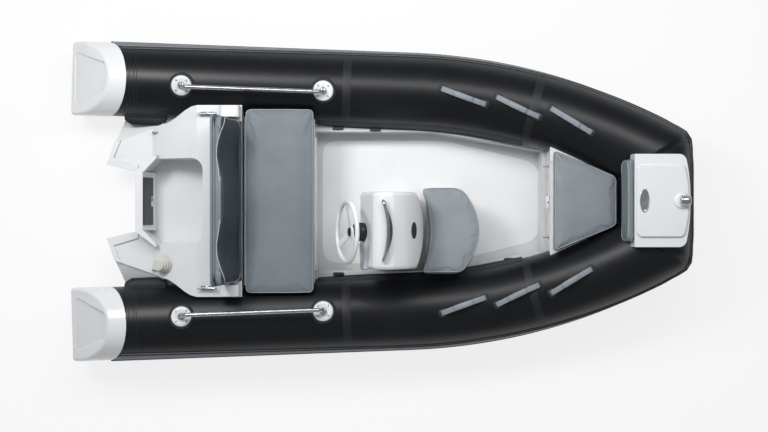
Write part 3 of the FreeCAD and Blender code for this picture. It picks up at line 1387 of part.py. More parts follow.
boot_frame = FreeCAD.Placement(
    vector(s.boot_x, -s.boot_y, ramp_height_at(s.boot_x) - 25),
    FreeCAD.Rotation(FreeCAD.Vector(0, 1, 0), -math.degrees(math.atan2(
        float(s.aft_deck_height - s.ramp_height), float(s.aft_deck_x - s.ramp_x)))))
boot_core = doc.addObject("Part::Cone", "cable_boot_core")
bind(boot_core, "Radius1", s.cable_boot_radius - 6)
bind(boot_core, "Radius2", s.cable_boot_top - 6)
bind(boot_core, "Height", s.cable_boot_rise + 25)
boot_core.Placement = boot_frame
boot_parts = [boot_core]
for number in range(BOOT_RIBS):
    share = (number + 0.5) / BOOT_RIBS
    rib = doc.addObject("Part::Torus", "cable_boot_rib_%d" % number)
    bind(rib, "Radius1", s.cable_boot_radius - 6 + (s.cable_boot_top - s.cable_boot_radius) * share)
    bind(rib, "Radius2", s.cable_boot_rise / BOOT_RIBS / 2.2)
    rib.Placement = offset(boot_frame, 0, 0, 25 + s.cable_boot_rise * share)
    boot_parts.append(rib)
keep("cable_boot", cut("cable_boot", fuse("cable_boot_ribbed", boot_parts), pieces["aft_moulding"]))

# Check every object, then write one file for each piece

doc.recompute()
for thing in doc.Objects:
    if "Invalid" in thing.State or "Error" in thing.State:
        raise RuntimeError("%s failed: %s" % (thing.Name, thing.State))
os.makedirs("parts", exist_ok=True)
for node, thing in pieces.items():
    shape = thing.Shape
    if shape.isNull() or not shape.isValid() or not shape.Solids:
        raise RuntimeError("%s has no valid solid" % node)
for node, thing in pieces.items():
    thing.Shape.exportStep("parts/%s.step" % node)
    print(node, len(thing.Shape.Solids), round(thing.Shape.Volume / 1e6, 3))
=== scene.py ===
import json
import math

import bmesh
import bpy
from mathutils import Matrix, Vector
from mathutils.bvhtree import BVHTree

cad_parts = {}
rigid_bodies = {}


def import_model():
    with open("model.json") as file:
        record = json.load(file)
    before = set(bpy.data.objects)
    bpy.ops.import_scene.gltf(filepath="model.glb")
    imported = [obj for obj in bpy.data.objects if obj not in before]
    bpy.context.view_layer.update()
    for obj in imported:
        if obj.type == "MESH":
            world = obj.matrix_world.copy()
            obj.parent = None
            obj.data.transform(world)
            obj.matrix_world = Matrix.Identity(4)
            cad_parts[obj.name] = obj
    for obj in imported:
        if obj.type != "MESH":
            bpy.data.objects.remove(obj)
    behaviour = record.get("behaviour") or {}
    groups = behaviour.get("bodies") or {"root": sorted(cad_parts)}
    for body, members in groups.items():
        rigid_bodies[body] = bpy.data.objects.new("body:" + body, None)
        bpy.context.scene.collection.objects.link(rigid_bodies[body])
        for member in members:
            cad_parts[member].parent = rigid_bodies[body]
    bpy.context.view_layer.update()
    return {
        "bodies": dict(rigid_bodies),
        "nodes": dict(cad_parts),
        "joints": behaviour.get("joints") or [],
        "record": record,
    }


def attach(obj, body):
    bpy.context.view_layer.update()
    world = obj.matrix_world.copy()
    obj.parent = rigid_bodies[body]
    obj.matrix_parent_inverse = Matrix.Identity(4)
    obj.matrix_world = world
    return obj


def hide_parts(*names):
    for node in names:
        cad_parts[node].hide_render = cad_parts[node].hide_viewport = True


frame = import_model()
nodes = frame["nodes"]
print("frame loaded:", len(nodes), "nodes")

# Stage: pale water-level floor, soft light from above and a little to port, camera straight overhead

stage = {
    "floorSize": 60,
    "floorColour": (0.93, 0.935, 0.94),
    "floorWorn": (0.95, 0.955, 0.96),
    "floorGlow": 0.8,             # share of plain white that the camera and mirrors see in the floor
    "worldColour": (0.93, 0.96, 1.0),
    "worldLight": 0.34,
    "cameraAt": (0.042, -0.087, 8.0),
    "lens": 60.94,
    "sensor": 36,
    "lamps": (
        # name, place, aim, size along and across, watts
        ("key", (-2.7, 2.0, 5.3), (0.1, 0, 0.3), (1.2, 1.2), 104),
        ("strip", (0.05, 1.38, 3.0), (0.0, 0, 0.3), (4.8, 0.7), 70),
    ),
}


def lightScene():
    scene = bpy.context.scene
    scene.view_settings.view_transform = "Standard"
    cameraData = bpy.data.cameras.new("overhead")
    cameraData.lens = stage["lens"]
    cameraData.sensor_width = stage["sensor"]
    camera = bpy.data.objects.new("overhead", cameraData)
    camera.location = stage["cameraAt"]
    scene.collection.objects.link(camera)
    scene.camera = camera
    for name, place, aim, size, watts in stage["lamps"]:
        data = bpy.data.lights.new(name, "AREA")
        data.shape = "RECTANGLE"
        data.size, data.size_y = size
        data.energy = watts
        lamp = bpy.data.objects.new(name, data)
        lamp.location = place
        away = Vector(place) - Vector(aim)
        # Length of the panel kept along the boat
        side = Vector((1, 0, 0)) - away * (away.x / away.length_squared)
        side.normalize()
        away.normalize()
        lamp.rotation_euler = Matrix((side, away.cross(side), away)).transposed().to_euler()
        lamp.visible_camera = False
        scene.collection.objects.link(lamp)
    world = bpy.data.worlds.new("studio")
    scene.world = world
    world.use_nodes = True
    soft = world.node_tree.nodes["Background"]
    soft.inputs["Color"].default_value = (*stage["worldColour"], 1)
    soft.inputs["Strength"].default_value = stage["worldLight"]


lightScene()
print("camera and light ready")


# Shader maths: a wire is one socket, and sums written with it become nodes

class Wire:
    def __init__(self, tree, socket=None):
        self.tree = tree
        self.socket = socket

    def fill(self, socket, value):
        # Links a wire to a socket, or sets the socket to a plain value
        if isinstance(value, Wire):
            self.tree.links.new(value.socket, socket)
        else:
            socket.default_value = value

    def node(self, kind, settings=None, inputs=None, output=0):
        made = self.tree.nodes.new(kind)
        for key, value in (settings or {}).items():
            setattr(made, key, value)
        for key, value in (inputs or {}).items():
            self.fill(made.inputs[key], value)
        return Wire(self.tree, made.outputs[output])

    def math(self, operation, first, second=0.0):
        return self.node("ShaderNodeMath", {"operation": operation}, {0: first, 1: second})

    def __add__(self, other):
        return self.math("ADD", self, other)

    def __radd__(self, other):
        return self.math("ADD", other, self)

    def __sub__(self, other):
        return self.math("SUBTRACT", self, other)

    def __rsub__(self, other):
        return self.math("SUBTRACT", other, self)

    def __mul__(self, other):
        return self.math("MULTIPLY", self, other)

    def __rmul__(self, other):
        return self.math("MULTIPLY", other, self)

    def sine(self):
        return self.math("SINE", self)

    def size(self):
        return self.math("ABSOLUTE", self)

    def clamp(self):
        return self.node("ShaderNodeClamp", None, {0: self})

    def band(self, low, high):
        # 0 below low, 1 above high, smooth between
        limits = {"Value": self, "From Min": low, "From Max": high}
        return self.node("ShaderNodeMapRange", {"interpolation_type": "SMOOTHSTEP"}, limits)

    def blend(self, first, second):
        # Colour that goes from the first to the second as this wire goes from 0 to 1
        made = self.tree.nodes.new("ShaderNodeMix")
        made.data_type = "RGBA"
        for number, value in ((0, self), (6, (*first, 1)), (7, (*second, 1))):
            self.fill(made.inputs[number], value)
        return Wire(self.tree, made.outputs[2])


materials = {}


class Finish:
    # A material being made: its wires, and the shader that they feed
    def __init__(self, name, **constants):
        self.material = bpy.data.materials.new(name)
        self.material.use_nodes = True
        tree = self.material.node_tree
        self.shader = next(n for n in tree.nodes if n.type == "BSDF_PRINCIPLED")
        self.wire = Wire(tree)
        for key, value in constants.items():
            self.shader.inputs[key.replace("_", " ")].default_value = value
        materials[name] = self.material

    def place(self):
        return self.wire.node("ShaderNodeTexCoord", None, None, "Object")

    def axis(self, letter):
        return self.wire.node("ShaderNodeSeparateXYZ", None, {0: self.place()}, letter)

    def stretched(self, scale):
        return self.wire.node("ShaderNodeMapping", None, {0: self.place(), "Scale": scale})

    def noise(self, scale, detail=3.0, rough=0.55, place=None):
        inputs = {"Vector": place or self.place(), "Scale": scale, "Detail": detail, "Roughness": rough}
        return self.wire.node("ShaderNodeTexNoise", None, inputs)

    def cells(self, scale, feature):
        return self.wire.node("ShaderNodeTexVoronoi", {"feature": feature}, {"Vector": self.place(), "Scale": scale})

    def bump(self, height, strength, distance, normal=None):
        inputs = {"Height": height, "Strength": strength, "Distance": distance}
        if normal is not None:
            inputs["Normal"] = normal
        return self.wire.node("ShaderNodeBump", None, inputs)

    def feed(self, **wires):
        for key, wire in wires.items():
            self.wire.tree.links.new(wire.socket, self.shader.inputs[key.replace("_", " ")])
        return self.material


# Finishes

def collarFabric():
    # Coated fabric: fine weave under the coat, broad unevenness and a few scuffs
    f = Finish("collarFabric", IOR=1.46, Specular_IOR_Level=0.4)
    weave, cloudy, fine = f.noise(900, 2), f.noise(3.2, 4), f.noise(38, 3)
    tone = (cloudy * 0.7 + fine * 0.3).band(0.35, 0.7)
    return f.feed(
        Base_Color=tone.blend((0.0022, 0.0030, 0.0045), (0.0045, 0.0056, 0.0075)),
        Roughness=0.3 + cloudy * 0.08 + weave * 0.05,
        Normal=f.bump(weave, 0.18, 0.0006, f.bump(cloudy, 0.25, 0.004)))


def seamTape():
    f = Finish("seamTape", Roughness=0.5)
    return f.feed(
        Base_Color=f.noise(40, 3).blend((0.0035, 0.0045, 0.0065), (0.0065, 0.0080, 0.0105)),
        Normal=f.bump(f.noise(700, 2), 0.2, 0.0006))


def gelcoat(name, colour, dull, rough=0.16):
    # Moulded gelcoat: glossy, with a faint orange peel, painted shade in the low places from occlusion, dust in
    # patches and eased mould edges
    f = Finish(name, IOR=1.5, Coat_Weight=0.25, Coat_Roughness=0.08)
    cloudy = f.noise(2.4, 4)
    specks = f.noise(150, 2).band(0.66, 0.74)
    # Painted shade: occlusion darkens the colour in corners, recesses and between parts; the cloud and specks add
    # real dust
    low = f.wire.node("ShaderNodeAmbientOcclusion", {"samples": 6}, {"Distance": 0.05}, "AO")
    dustAndShade = ((1 - low) * 0.55 + cloudy.band(0.5, 0.75) * 0.25 + specks * 0.1).clamp()
    eased = f.wire.node("ShaderNodeBevel", {"samples": 6}, {"Radius": 0.0045})
    return f.feed(
        Base_Color=dustAndShade.blend(colour, dull),
        Roughness=rough + cloudy * 0.1 + dustAndShade * 0.25,
        Normal=f.bump(f.noise(55, 2), 0.06, 0.002, eased))


def deckGrip(name, colour, dull):
    # Cockpit sole: gelcoat with a raised diamond tread where it faces up
    f = Finish(name, IOR=1.5)
    x, y = f.axis("X"), f.axis("Y")
    first = ((x + y) * 260).sine().size()
    second = ((x - y) * 260).sine().size()
    tread = (first * second).band(0.25, 0.55)
    facing = f.wire.node("ShaderNodeNewGeometry", None, None, "Normal")
    flat = f.wire.node("ShaderNodeSeparateXYZ", None, {0: facing}, "Z").band(0.9, 0.97)
    cloudy = f.noise(3, 4)
    return f.feed(
        Base_Color=(cloudy.band(0.4, 0.8) * 0.6).blend(colour, dull),
        Roughness=0.3 + flat * 0.2 + cloudy * 0.1,
        Normal=f.bump(tread * flat, 0.35, 0.0012))


def vinyl(name, colour, shade):
    # Upholstery vinyl: leather grain, faint creases and a cloudy tone
    f = Finish(name, IOR=1.48)
    grain = f.cells(420, "DISTANCE_TO_EDGE").band(0.0, 0.35)
    cloudy = f.noise(5, 5)
    crease = f.noise(17, 2, 0.4, f.stretched((1, 2.4, 1)))
    return f.feed(
        Base_Color=(cloudy.band(0.32, 0.72) * 0.7 + (1 - grain) * 0.2).blend(colour, shade),
        Roughness=0.42 + cloudy * 0.12 + grain * 0.06,
        Normal=f.bump(grain, 0.3, 0.0006, f.bump(crease, 0.22, 0.004)))


def plastic(name, colour, rough, grainScale=480, grainDeep=0.2):
    # Moulded plastic or rubber: fine grain, slightly paler in patches
    f = Finish(name, IOR=1.47)
    cloudy = f.noise(9, 4)
    paler = [min(1, c * 1.28 + 0.004) for c in colour]
    return f.feed(
        Base_Color=(cloudy.band(0.35, 0.75) * 0.8).blend(colour, paler),
        Roughness=rough + cloudy * 0.1,
        Normal=f.bump(f.noise(grainScale, 2), grainDeep, 0.0008))


def steel():
    # Polished stainless with fine brushing and a few water marks
    f = Finish("polishedSteel", Metallic=1.0)
    marks = f.noise(24, 4)
    brush = f.noise(300, 2, 0.6, f.stretched((0.05, 1, 1)))
    return f.feed(
        Base_Color=marks.band(0.35, 0.7).blend((0.40, 0.41, 0.43), (0.54, 0.55, 0.57)),
        Roughness=0.15 + marks * 0.1 + brush * 0.04,
        Normal=f.bump(brush, 0.012, 0.0003))


def webbing():
    # Woven polyester strap: ribs across the strap and lines along it
    f = Finish("webbing", Roughness=0.7)
    x, y = f.axis("X"), f.axis("Y")
    ribs = ((x * 0.98 + y * 0.2) * 2400).sine()
    lines = ((y * 0.98 - x * 0.2) * 1900).sine()
    weave = (ribs * lines * 0.5 + 0.5).clamp()
    dusty = (weave * 0.5 + f.noise(45, 3) * 0.4).clamp()
    return f.feed(
        Base_Color=dusty.blend((0.20, 0.225, 0.26), (0.33, 0.36, 0.40)),
        Normal=f.bump(weave, 0.5, 0.0008))


def smoked():
    # Smoked acrylic of the console's screen
    f = Finish("smokedAcrylic", IOR=1.49, Alpha=0.92)
    return f.feed(
        Base_Color=f.noise(6, 3).blend((0.012, 0.015, 0.020), (0.022, 0.026, 0.034)),
        Roughness=0.05 + f.noise(70, 3) * 0.06)


gelWhite = gelcoat("gelWhite", (0.80, 0.81, 0.82), (0.60, 0.62, 0.64))
gelDeck = gelcoat("gelDeck", (0.79, 0.80, 0.81), (0.58, 0.60, 0.62), 0.24)
# Liner gelcoat greyer than the white: painted shade for the ledge and walls that lie in the collar's shadow
gelLinerShaded = gelcoat("gelLinerShaded", (0.66, 0.665, 0.675), (0.48, 0.49, 0.50), 0.24)
soleGrip = deckGrip("soleGrip", (0.86, 0.865, 0.87), (0.78, 0.79, 0.80))
finishes = {
    "collar_fabric": collarFabric(),
    "white_moulding": gelWhite,
    "grey_strake": plastic("strakeRubber", (0.105, 0.125, 0.15), 0.45),
    "black_plastic": plastic("blackPlastic", (0.012, 0.013, 0.016), 0.36),
    "black_rubber": plastic("blackRubber", (0.012, 0.013, 0.016), 0.55, 600, 0.3),
    "cushion_vinyl": vinyl("seatVinyl", (0.292, 0.324, 0.346), (0.240, 0.268, 0.288)),
    "wheel_white": plastic("wheelWhite", (0.72, 0.73, 0.74), 0.24, 300, 0.08),
    "stainless": steel(),
    "smoked_screen": smoked(),
    "grey_plastic": plastic("greyPlastic", (0.42, 0.45, 0.48), 0.28, 500, 0.12),
    "cream_rubber": plastic("creamRubber", (0.60, 0.60, 0.555), 0.48),
    "webbing": webbing(),
}
# Darker copies of the seat vinyl for the bench, backrest and bow seat: painted shade for seats that get less light
benchVinylShaded = vinyl("benchVinylShaded", (0.190, 0.218, 0.240), (0.153, 0.177, 0.196))
bowVinylShaded = vinyl("bowVinylShaded", (0.246, 0.276, 0.298), (0.202, 0.228, 0.248))
backVinyl = vinyl("backVinyl", (0.190, 0.222, 0.232), (0.155, 0.182, 0.192))
# Near-black copy of the vinyl: painted shade for the backrest's shaded front and foot
frontShadeVinyl = vinyl("frontShadeVinyl", (0.045, 0.056, 0.072), (0.033, 0.042, 0.056))
seamVinyl = plastic("seamVinyl", (0.50, 0.54, 0.58), 0.45)
pipingVinyl = plastic("pipingVinyl", (0.36, 0.395, 0.43), 0.45)
tape = seamTape()
# Near-black flap fabric: painted shade beside the collar
flapShadePaint = plastic("flapShadeFabric", (0.010, 0.012, 0.016), 0.55, 700, 0.2)
strakeEdge = plastic("strakeEdge", (0.011, 0.012, 0.014), 0.4)
strakePale = plastic("strakePale", (0.33, 0.35, 0.37), 0.4)
flangePaint = plastic("flangeWhite", (0.70, 0.71, 0.72), 0.22, 200, 0.05)
threadPaint = plastic("threadGrey", (0.10, 0.11, 0.125), 0.6)
gripPaint = plastic("gripRubber", (0.235, 0.26, 0.295), 0.5, 300, 0.25)
print("finishes ready:", len(materials))

for row in frame["record"]["subparts"]:
    node = nodes[row["node"]]
    node.data.materials.clear()
    node.data.materials.append(finishes[row["material_slot"]])
for name, paint in (("deck_liner", gelLinerShaded), ("aft_moulding", gelDeck), ("backrest_panel", benchVinylShaded)):
    nodes[name].data.materials[0] = paint


# Forms: everything below is mesh code in metres, in the boat's own frame

up = Vector((0, 0, 1))
forward = Vector((1, 0, 0))
port = Vector((0, 1, 0))


def addPiece(name, mesh, slot, replaced=None, paint=None, body="boat", smooth=True):
    points, faces = mesh
    data = bpy.data.meshes.new(name)
    data.from_pydata([tuple(point) for point in points], [], faces)
    edit = bmesh.new()
    edit.from_mesh(data)
    bmesh.ops.remove_doubles(edit, verts=edit.verts, dist=1e-6)
    bmesh.ops.recalc_face_normals(edit, faces=edit.faces)
    edit.to_mesh(data)
    edit.free()
    data.materials.append(paint or finishes[slot])
    for polygon in data.polygons:
        polygon.use_smooth = smooth
    piece = bpy.data.objects.new(name, data)
    bpy.context.scene.collection.objects.link(piece)
    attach(piece, body)
    if replaced:
        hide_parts(replaced)
    return piece


def loft(rings, capped=True):
    # Closed loops of equal length joined one to the next
    count = len(rings[0])
    points = [point for ring in rings for point in ring]
    faces = []
    for row in range(len(rings) - 1):
        for i in range(count):
            j = (i + 1) % count
            faces.append((row * count + i, row * count + j, (row + 1) * count + j, (row + 1) * count + i))
    if capped:
        faces.append(tuple(reversed(range(count))))
        faces.append(tuple(range((len(rings) - 1) * count, len(rings) * count)))
    return points, faces


def joined(*meshes):
    # Several (points, faces) in one
    points, faces = [], []
    for morePoints, moreFaces in meshes:
        start = len(points)
        points += list(morePoints)
        faces += [tuple(start + i for i in face) for face in moreFaces]
    return points, faces


def puffed(count, across=1.0, upward=1.0):
    # (across, up) pairs round a circle, or a rounded square as the powers fall
    ring = []
    for k in range(count):
        a, u = math.cos(math.tau * k / count), math.sin(math.tau * k / count)
        ring.append((math.copysign(abs(a) ** across, a), math.copysign(abs(u) ** upward, u)))
    return ring


def smoothed(share):
    return share * share * (3 - 2 * share)


def framesAlong(path, lift=up):
    # Each point of a path with its way, the direction across it and its own up, turned no more than the path turns
    frames = []
    upward = lift
    for i, point in enumerate(path):
        way = (path[min(i + 1, len(path) - 1)] - path[max(i - 1, 0)]).normalized()
        upward = (upward - way * upward.dot(way)).normalized()
        frames.append((point, way, upward.cross(way), upward))
    return frames


def sweep(path, section, lift=up, grow=None):
    # Section: (across, up) pairs carried along a path; grow gives its scale at each share of the way
    rings = []
    frames = framesAlong(path, lift)
    for i, (point, way, across, upward) in enumerate(frames):
        scale = grow(i / (len(frames) - 1)) if grow else 1
        rings.append([point + across * (a * scale) + upward * (u * scale) for a, u in section])
    return loft(rings)


def roundSection(radius, count=16, flat=1.0):
    return [(radius * a, radius * flat * u) for a, u in puffed(count)]


def turned(profile, centre, axis, count, capped=True):
    # Lathe: (radius, height) pairs turned about an axis
    axis = axis.normalized()
    first = axis.orthogonal().normalized()
    second = axis.cross(first)
    spokes = [first * a + second * u for a, u in puffed(count)]
    return loft([[centre + axis * height + spoke * max(radius, 1e-5) for spoke in spokes]
                 for radius, height in profile], capped)


def filletPath(corners, radii, spacing):
    # Corners joined by straight runs, with an arc of its own radius at each inner corner
    path = [corners[0]]
    for before, corner, after, radius in zip(corners, corners[1:], corners[2:], radii):
        back, ahead = (before - corner).normalized(), (after - corner).normalized()
        half = back.angle(ahead) / 2
        reach = radius / math.tan(half)
        centre = corner + (back + ahead).normalized() * (radius / math.sin(half))
        start, end = corner + back * reach - centre, corner + ahead * reach - centre
        turn = math.pi - half * 2
        steps = max(6, int(radius * turn / spacing))
        for i in range(steps + 1):
            share = i / steps
            blended = start * math.sin((1 - share) * turn) + end * math.sin(share * turn)
            path.append(centre + blended / math.sin(turn))
    path.append(corners[-1])
    return evenly(path, spacing)


def evenly(path, spacing, closed=False):
    # The same line with points at even distances
    line = list(path) + ([path[0]] if closed else [])
    lengths = [0]
    for a, b in zip(line, line[1:]):
        lengths.append(lengths[-1] + (b - a).length)
    count = max(2, round(lengths[-1] / spacing))
    result = []
    k = 0
    for i in range(count if closed else count + 1):
        goal = lengths[-1] * i / count
        while k < len(line) - 2 and lengths[k + 1] < goal:
            k += 1
        gap = lengths[k + 1] - lengths[k]
        share = (goal - lengths[k]) / gap if gap else 0
        result.append(line[k].lerp(line[k + 1], min(1, share)))
    return result


planStep = 0.002      # spacing of the points while a plan's corners are rounded
planSpread = 1.4      # how far the rounding reaches, in corner radii


def roundedPlan(corners, radius, spacing):
    # Closed plan loop, anticlockwise: (x, y) or (x, y, bulge of the side that follows)
    loop = []
    for i, corner in enumerate(corners):
        here, there = Vector(corner[:2]), Vector(corners[(i + 1) % len(corners)][:2])
        bulge = corner[2] if len(corner) > 2 else 0
        side = there - here
        out = Vector((side.y, -side.x)).normalized()
        steps = 24 if bulge else 1
        for k in range(steps):
            share = k / steps
            loop.append(here.lerp(there, share) + out * (bulge * (1 - (2 * share - 1) ** 2)))
    plan = evenly(loop, planStep, True)
    # Rounding: each point goes to the mean of those within reach, three times
    reach = max(1, int(radius * planSpread / planStep))
    before, after = -(-reach // 2), reach // 2
    count = len(plan)
    for _ in range(3):
        total = Vector((0, 0))
        for k in range(-before, after + 1):
            total += plan[k % count]
        softer = []
        for i in range(count):
            softer.append(total / (before + after + 1))
            total += plan[(i + after + 1) % count] - plan[(i - before) % count]
        plan = softer
    return evenly(plan, spacing, True)


def insetLoop(loop, distance):
    result = []
    for i, point in enumerate(loop):
        way = (loop[(i + 1) % len(loop)] - loop[i - 1]).normalized()
        result.append(point + Vector((-way.y, way.x)) * distance)
    return result


def atHeight(loop, z):
    return [Vector((point.x, point.y, z)) for point in loop]


# Floor

def floorPaint():
    # Mostly plain white to the camera and to mirrors, with the boat's soft shadow kept on it
    f = Finish("floorPaint", Roughness=0.9)
    f.feed(Base_Color=f.noise(0.6, 2).blend(stage["floorColour"], stage["floorWorn"]))
    tree = f.material.node_tree
    rays = [f.wire.node("ShaderNodeLightPath", None, None, ray)
            for ray in ("Is Camera Ray", "Is Glossy Ray", "Is Transmission Ray")]
    seen = f.wire.math("MAXIMUM", f.wire.math("MAXIMUM", rays[0], rays[1]), rays[2])
    glow = tree.nodes.new("ShaderNodeEmission")
    mixed = tree.nodes.new("ShaderNodeMixShader")
    output = tree.nodes["Material Output"]
    for number, socket in enumerate(((seen * stage["floorGlow"]).socket, f.shader.outputs[0], glow.outputs[0])):
        tree.links.new(socket, mixed.inputs[number])
    tree.links.new(mixed.outputs[0], output.inputs[0])
    return f.material


reach = stage["floorSize"] / 2
floorMesh = bpy.data.meshes.new("floor")
floorMesh.from_pydata([(-reach, -reach, 0), (reach, -reach, 0), (reach, reach, 0), (-reach, reach, 0)], [],
                      [(0, 1, 2, 3)])
floorMesh.materials.append(floorPaint())
floor = bpy.data.objects.new("floor", floorMesh)
bpy.context.scene.collection.objects.link(floor)
print("floor laid")


# Collar: three air chambers swept along one line, with taped joins, seam rings and flaps

collar = {
    "radius": 0.215, "turns": 64, "spacing": 0.014,
    "aft": (-1.6, 0.725, 0.26), "knee": (0.905, 0.631, 0.26), "corner": (1.615, 0.258, 0.445),
    "stretch": 0.14,              # how far the line runs on past its aft point
    "bend": 2.8, "cornerBend": 0.10, "cornerPush": 0.14,
    "capTilt": 33, "capX": -1.592, "capUnder": 0.02, "capNear": 0.015,
    "sunk": -0.0004,              # edges of tapes and rings, just under the skin
    "tapeAt": (-0.17, 0.93), "tapeHalf": 2, "tapeProud": 0.0011,
    "beadsAt": (-1.452, -1.435, -1.408, -1.392), "beadHalf": 0.0022, "beadProud": 0.0012,
    "flaps": ((-1.50, -1.235, 0.264, 0.022), (-0.35, 0.93, 0.2335, -0.010)),   # span in x, reach, lip
    "flapRest": 0.2257,           # reach of a flap where it is let down to the tube
}
sides = ((1, "Port"), (-1, "Starboard"))


def sidePath(side, stretch=0.0):
    aft, knee, corner = (Vector((x, y * side, z)) for x, y, z in (collar["aft"], collar["knee"], collar["corner"]))
    return aft + (aft - knee).normalized() * stretch, knee, corner


def collarPath():
    aft, knee, corner = sidePath(1, collar["stretch"])
    lowAft, lowKnee, lowCorner = sidePath(-1, collar["stretch"])
    bends = [collar["bend"], collar["cornerBend"], collar["cornerBend"], collar["bend"]]
    return filletPath([aft, knee, corner, lowCorner, lowKnee, lowAft], bends, collar["spacing"])


capTilt = math.radians(collar["capTilt"])
capOut = Vector((-math.cos(capTilt), 0, math.sin(capTilt)))


def trimmed(ring, way, under, near):
    # The end cap starts from an oblique face: points more than near aft of it slide along the tube to it
    result = []
    for point in ring:
        aft, knee, _ = sidePath(1 if point.y > 0 else -1)
        seam = aft.lerp(knee, (collar["capX"] - aft.x) / (knee.x - aft.x))
        beyond = (point - seam).dot(capOut)
        result.append(point + way * ((under - beyond) / way.dot(capOut)) if beyond > near else point)
    return result


fullPath = collarPath()
fullFrames = framesAlong(fullPath)
middle = len(fullPath) // 2
cornerAt = min(range(middle), key=lambda i: (fullPath[i] - Vector(collar["corner"])).length)


def opposite(i):
    return len(fullPath) - 1 - i


def nearest(x):
    return min(range(middle), key=lambda i: abs(fullPath[i].x - x))


def cornerStretch(way):
    # Outer side pushed out round each bow corner, where the chambers meet on a mitre
    side = Vector(collar["corner"]) - Vector(collar["knee"])
    share = max(0, 1 - way.angle(-port) / side.angle(-port))
    return 1 + collar["cornerPush"] * math.sin(math.pi * share) ** 4


def collarRing(frame, extra=0.0):
    point, way, across, upward = frame
    radius, push = collar["radius"] + extra, cornerStretch(way)
    return [point + across * (radius * a * (push if a > 0 else 1)) + upward * (radius * u)
            for a, u in puffed(collar["turns"])]


chambers = (("Port", 0, cornerAt), ("Bow", cornerAt, opposite(cornerAt)),
            ("Starboard", opposite(cornerAt), opposite(0)))
for tag, first, last in chambers:
    rings = [trimmed(collarRing(frame), frame[1], collar["capUnder"], collar["capNear"])
             for frame in fullFrames[first:last + 1]]
    addPiece("chamber" + tag, loft(rings), "collar_fabric", "tube_" + tag.lower())


def taped(centre):
    # Band of tape round the tube, its edges let down to the skin
    span = range(centre - collar["tapeHalf"], centre + collar["tapeHalf"] + 1)
    return loft([collarRing(fullFrames[i], collar["sunk"] if i in (span[0], span[-1]) else collar["tapeProud"])
                 for i in span], False)


def bead(x, flip):
    # Thin raised ring welded round the tube
    near = nearest(x)
    point, way, across, upward = fullFrames[opposite(near) if flip else near]
    along = (x - point.x) / way.x
    half, sunk, proud = collar["beadHalf"], collar["sunk"], collar["beadProud"]
    return loft([collarRing((point + way * (along + shift), way, across, upward), lift)
                 for shift, lift in ((-half, sunk), (-half * 0.5, proud), (half * 0.5, proud), (half, sunk))], False)


def joinFlap(flip, aftX, foreX, reach, lip):
    # Fabric flap that closes the joint between the tube's inboard side and the moulding; its near-black colour also
    # serves as painted shade where the tube's shadow falls
    rings = []
    for i in range(middle):
        share = (fullPath[i].x - aftX) / (foreX - aftX)
        if 0 < share < 1:
            # Let down to the tube at both ends
            ends = math.sin(math.pi / 2 * min(1, share * 4, (1 - share) * 6))
            out = collar["flapRest"] + (reach - collar["flapRest"]) * ends
            section = ((-0.170, 0.130), (-0.205, 0.070), (-0.2225, 0.030), (-0.2255, lip + 0.008), (-out, lip),
                       (-out, lip - 0.004), (-0.214, lip - 0.001), (-0.196, 0.028), (-0.160, 0.120))
            point, _, across, upward = fullFrames[opposite(i) if flip else i]
            rings.append([point + across * a + upward * u for a, u in section])
    return loft(rings)


tapes = [taped(i) for x in collar["tapeAt"] for i in (nearest(x), opposite(nearest(x)))]
beads = [bead(x, flip) for x in collar["beadsAt"] for flip in (False, True)]
flaps = [joinFlap(flip, *span) for flip in (False, True) for span in collar["flaps"]]
addPiece("joinTapes", joined(*tapes), "collar_fabric", paint=tape)
addPiece("ringBeads", joined(*beads), "collar_fabric", paint=tape)
addPiece("joinFlaps", joined(*flaps), "collar_fabric", paint=flapShadePaint)

# Rubbing strake: a grey band with dark ribs along its edges and a pale line beside each

strake = {
    "aftX": -1.74, "proud": 0.0112, "sunk": 0.004, "capUnder": -0.002, "capNear": 0.00158127,
    "steps": 8, "edge": (0.45, 0.88),     # steps across a band, and its height at the first two
    "top": (36, 26, 17),          # degrees up from level: at the stern, amidships, at the bow
    "foot": (4.8, -13),           # degrees up from level: amidships, at the bow
    "bowX": 0.5, "bowLong": 1.1, "sternX": 0.1, "sternLong": 1.7,
    # Low and high edge as shares of the width, height as a share of proud: band, two ribs, two lines
    "bands": ((0, 1, 0.55), (0.01, 0.17, 1), (0.83, 0.99, 0.85), (0.19, 0.225, 0.7), (0.775, 0.81, 0.7)),
}


def strakeBand(first, last, lowShare, highShare, height):
    # Part of the strake's width, from 0 at its foot to 1 at its top, swept along the collar
    steps, lift = strake["steps"], strake["proud"] * height
    sternTop, middleTop, bowTop = strake["top"]
    middleFoot, bowFoot = strake["foot"]
    rings = []
    for point, way, across, upward in fullFrames[first:last + 1]:
        bowShare = smoothed(min(1, max(0, (point.x - strake["bowX"]) / strake["bowLong"])))
        aftShare = min(1, max(0, (strake["sternX"] - point.x) / strake["sternLong"]))
        foot = middleFoot * (1 - bowShare) + bowFoot * bowShare
        top = (middleTop + (sternTop - middleTop) * aftShare) * (1 - bowShare) + bowTop * bowShare
        low, high = (math.radians(foot + (top - foot) * share) for share in (lowShare, highShare))
        heights = [lift * share for share in strake["edge"] + (1,) * (steps - 3) + strake["edge"][::-1]]
        outline = [(low + (high - low) * k / steps, height) for k, height in enumerate(heights)]
        outline += [(high, -strake["sunk"]), (low, -strake["sunk"])]
        push = cornerStretch(way)
        ring = [point + (across * (math.cos(angle) * push) + upward * math.sin(angle)) * (collar["radius"] + proud)
                for angle, proud in outline]
        rings.append(trimmed(ring, way, strake["capUnder"], strake["capNear"]))
    return loft(rings)


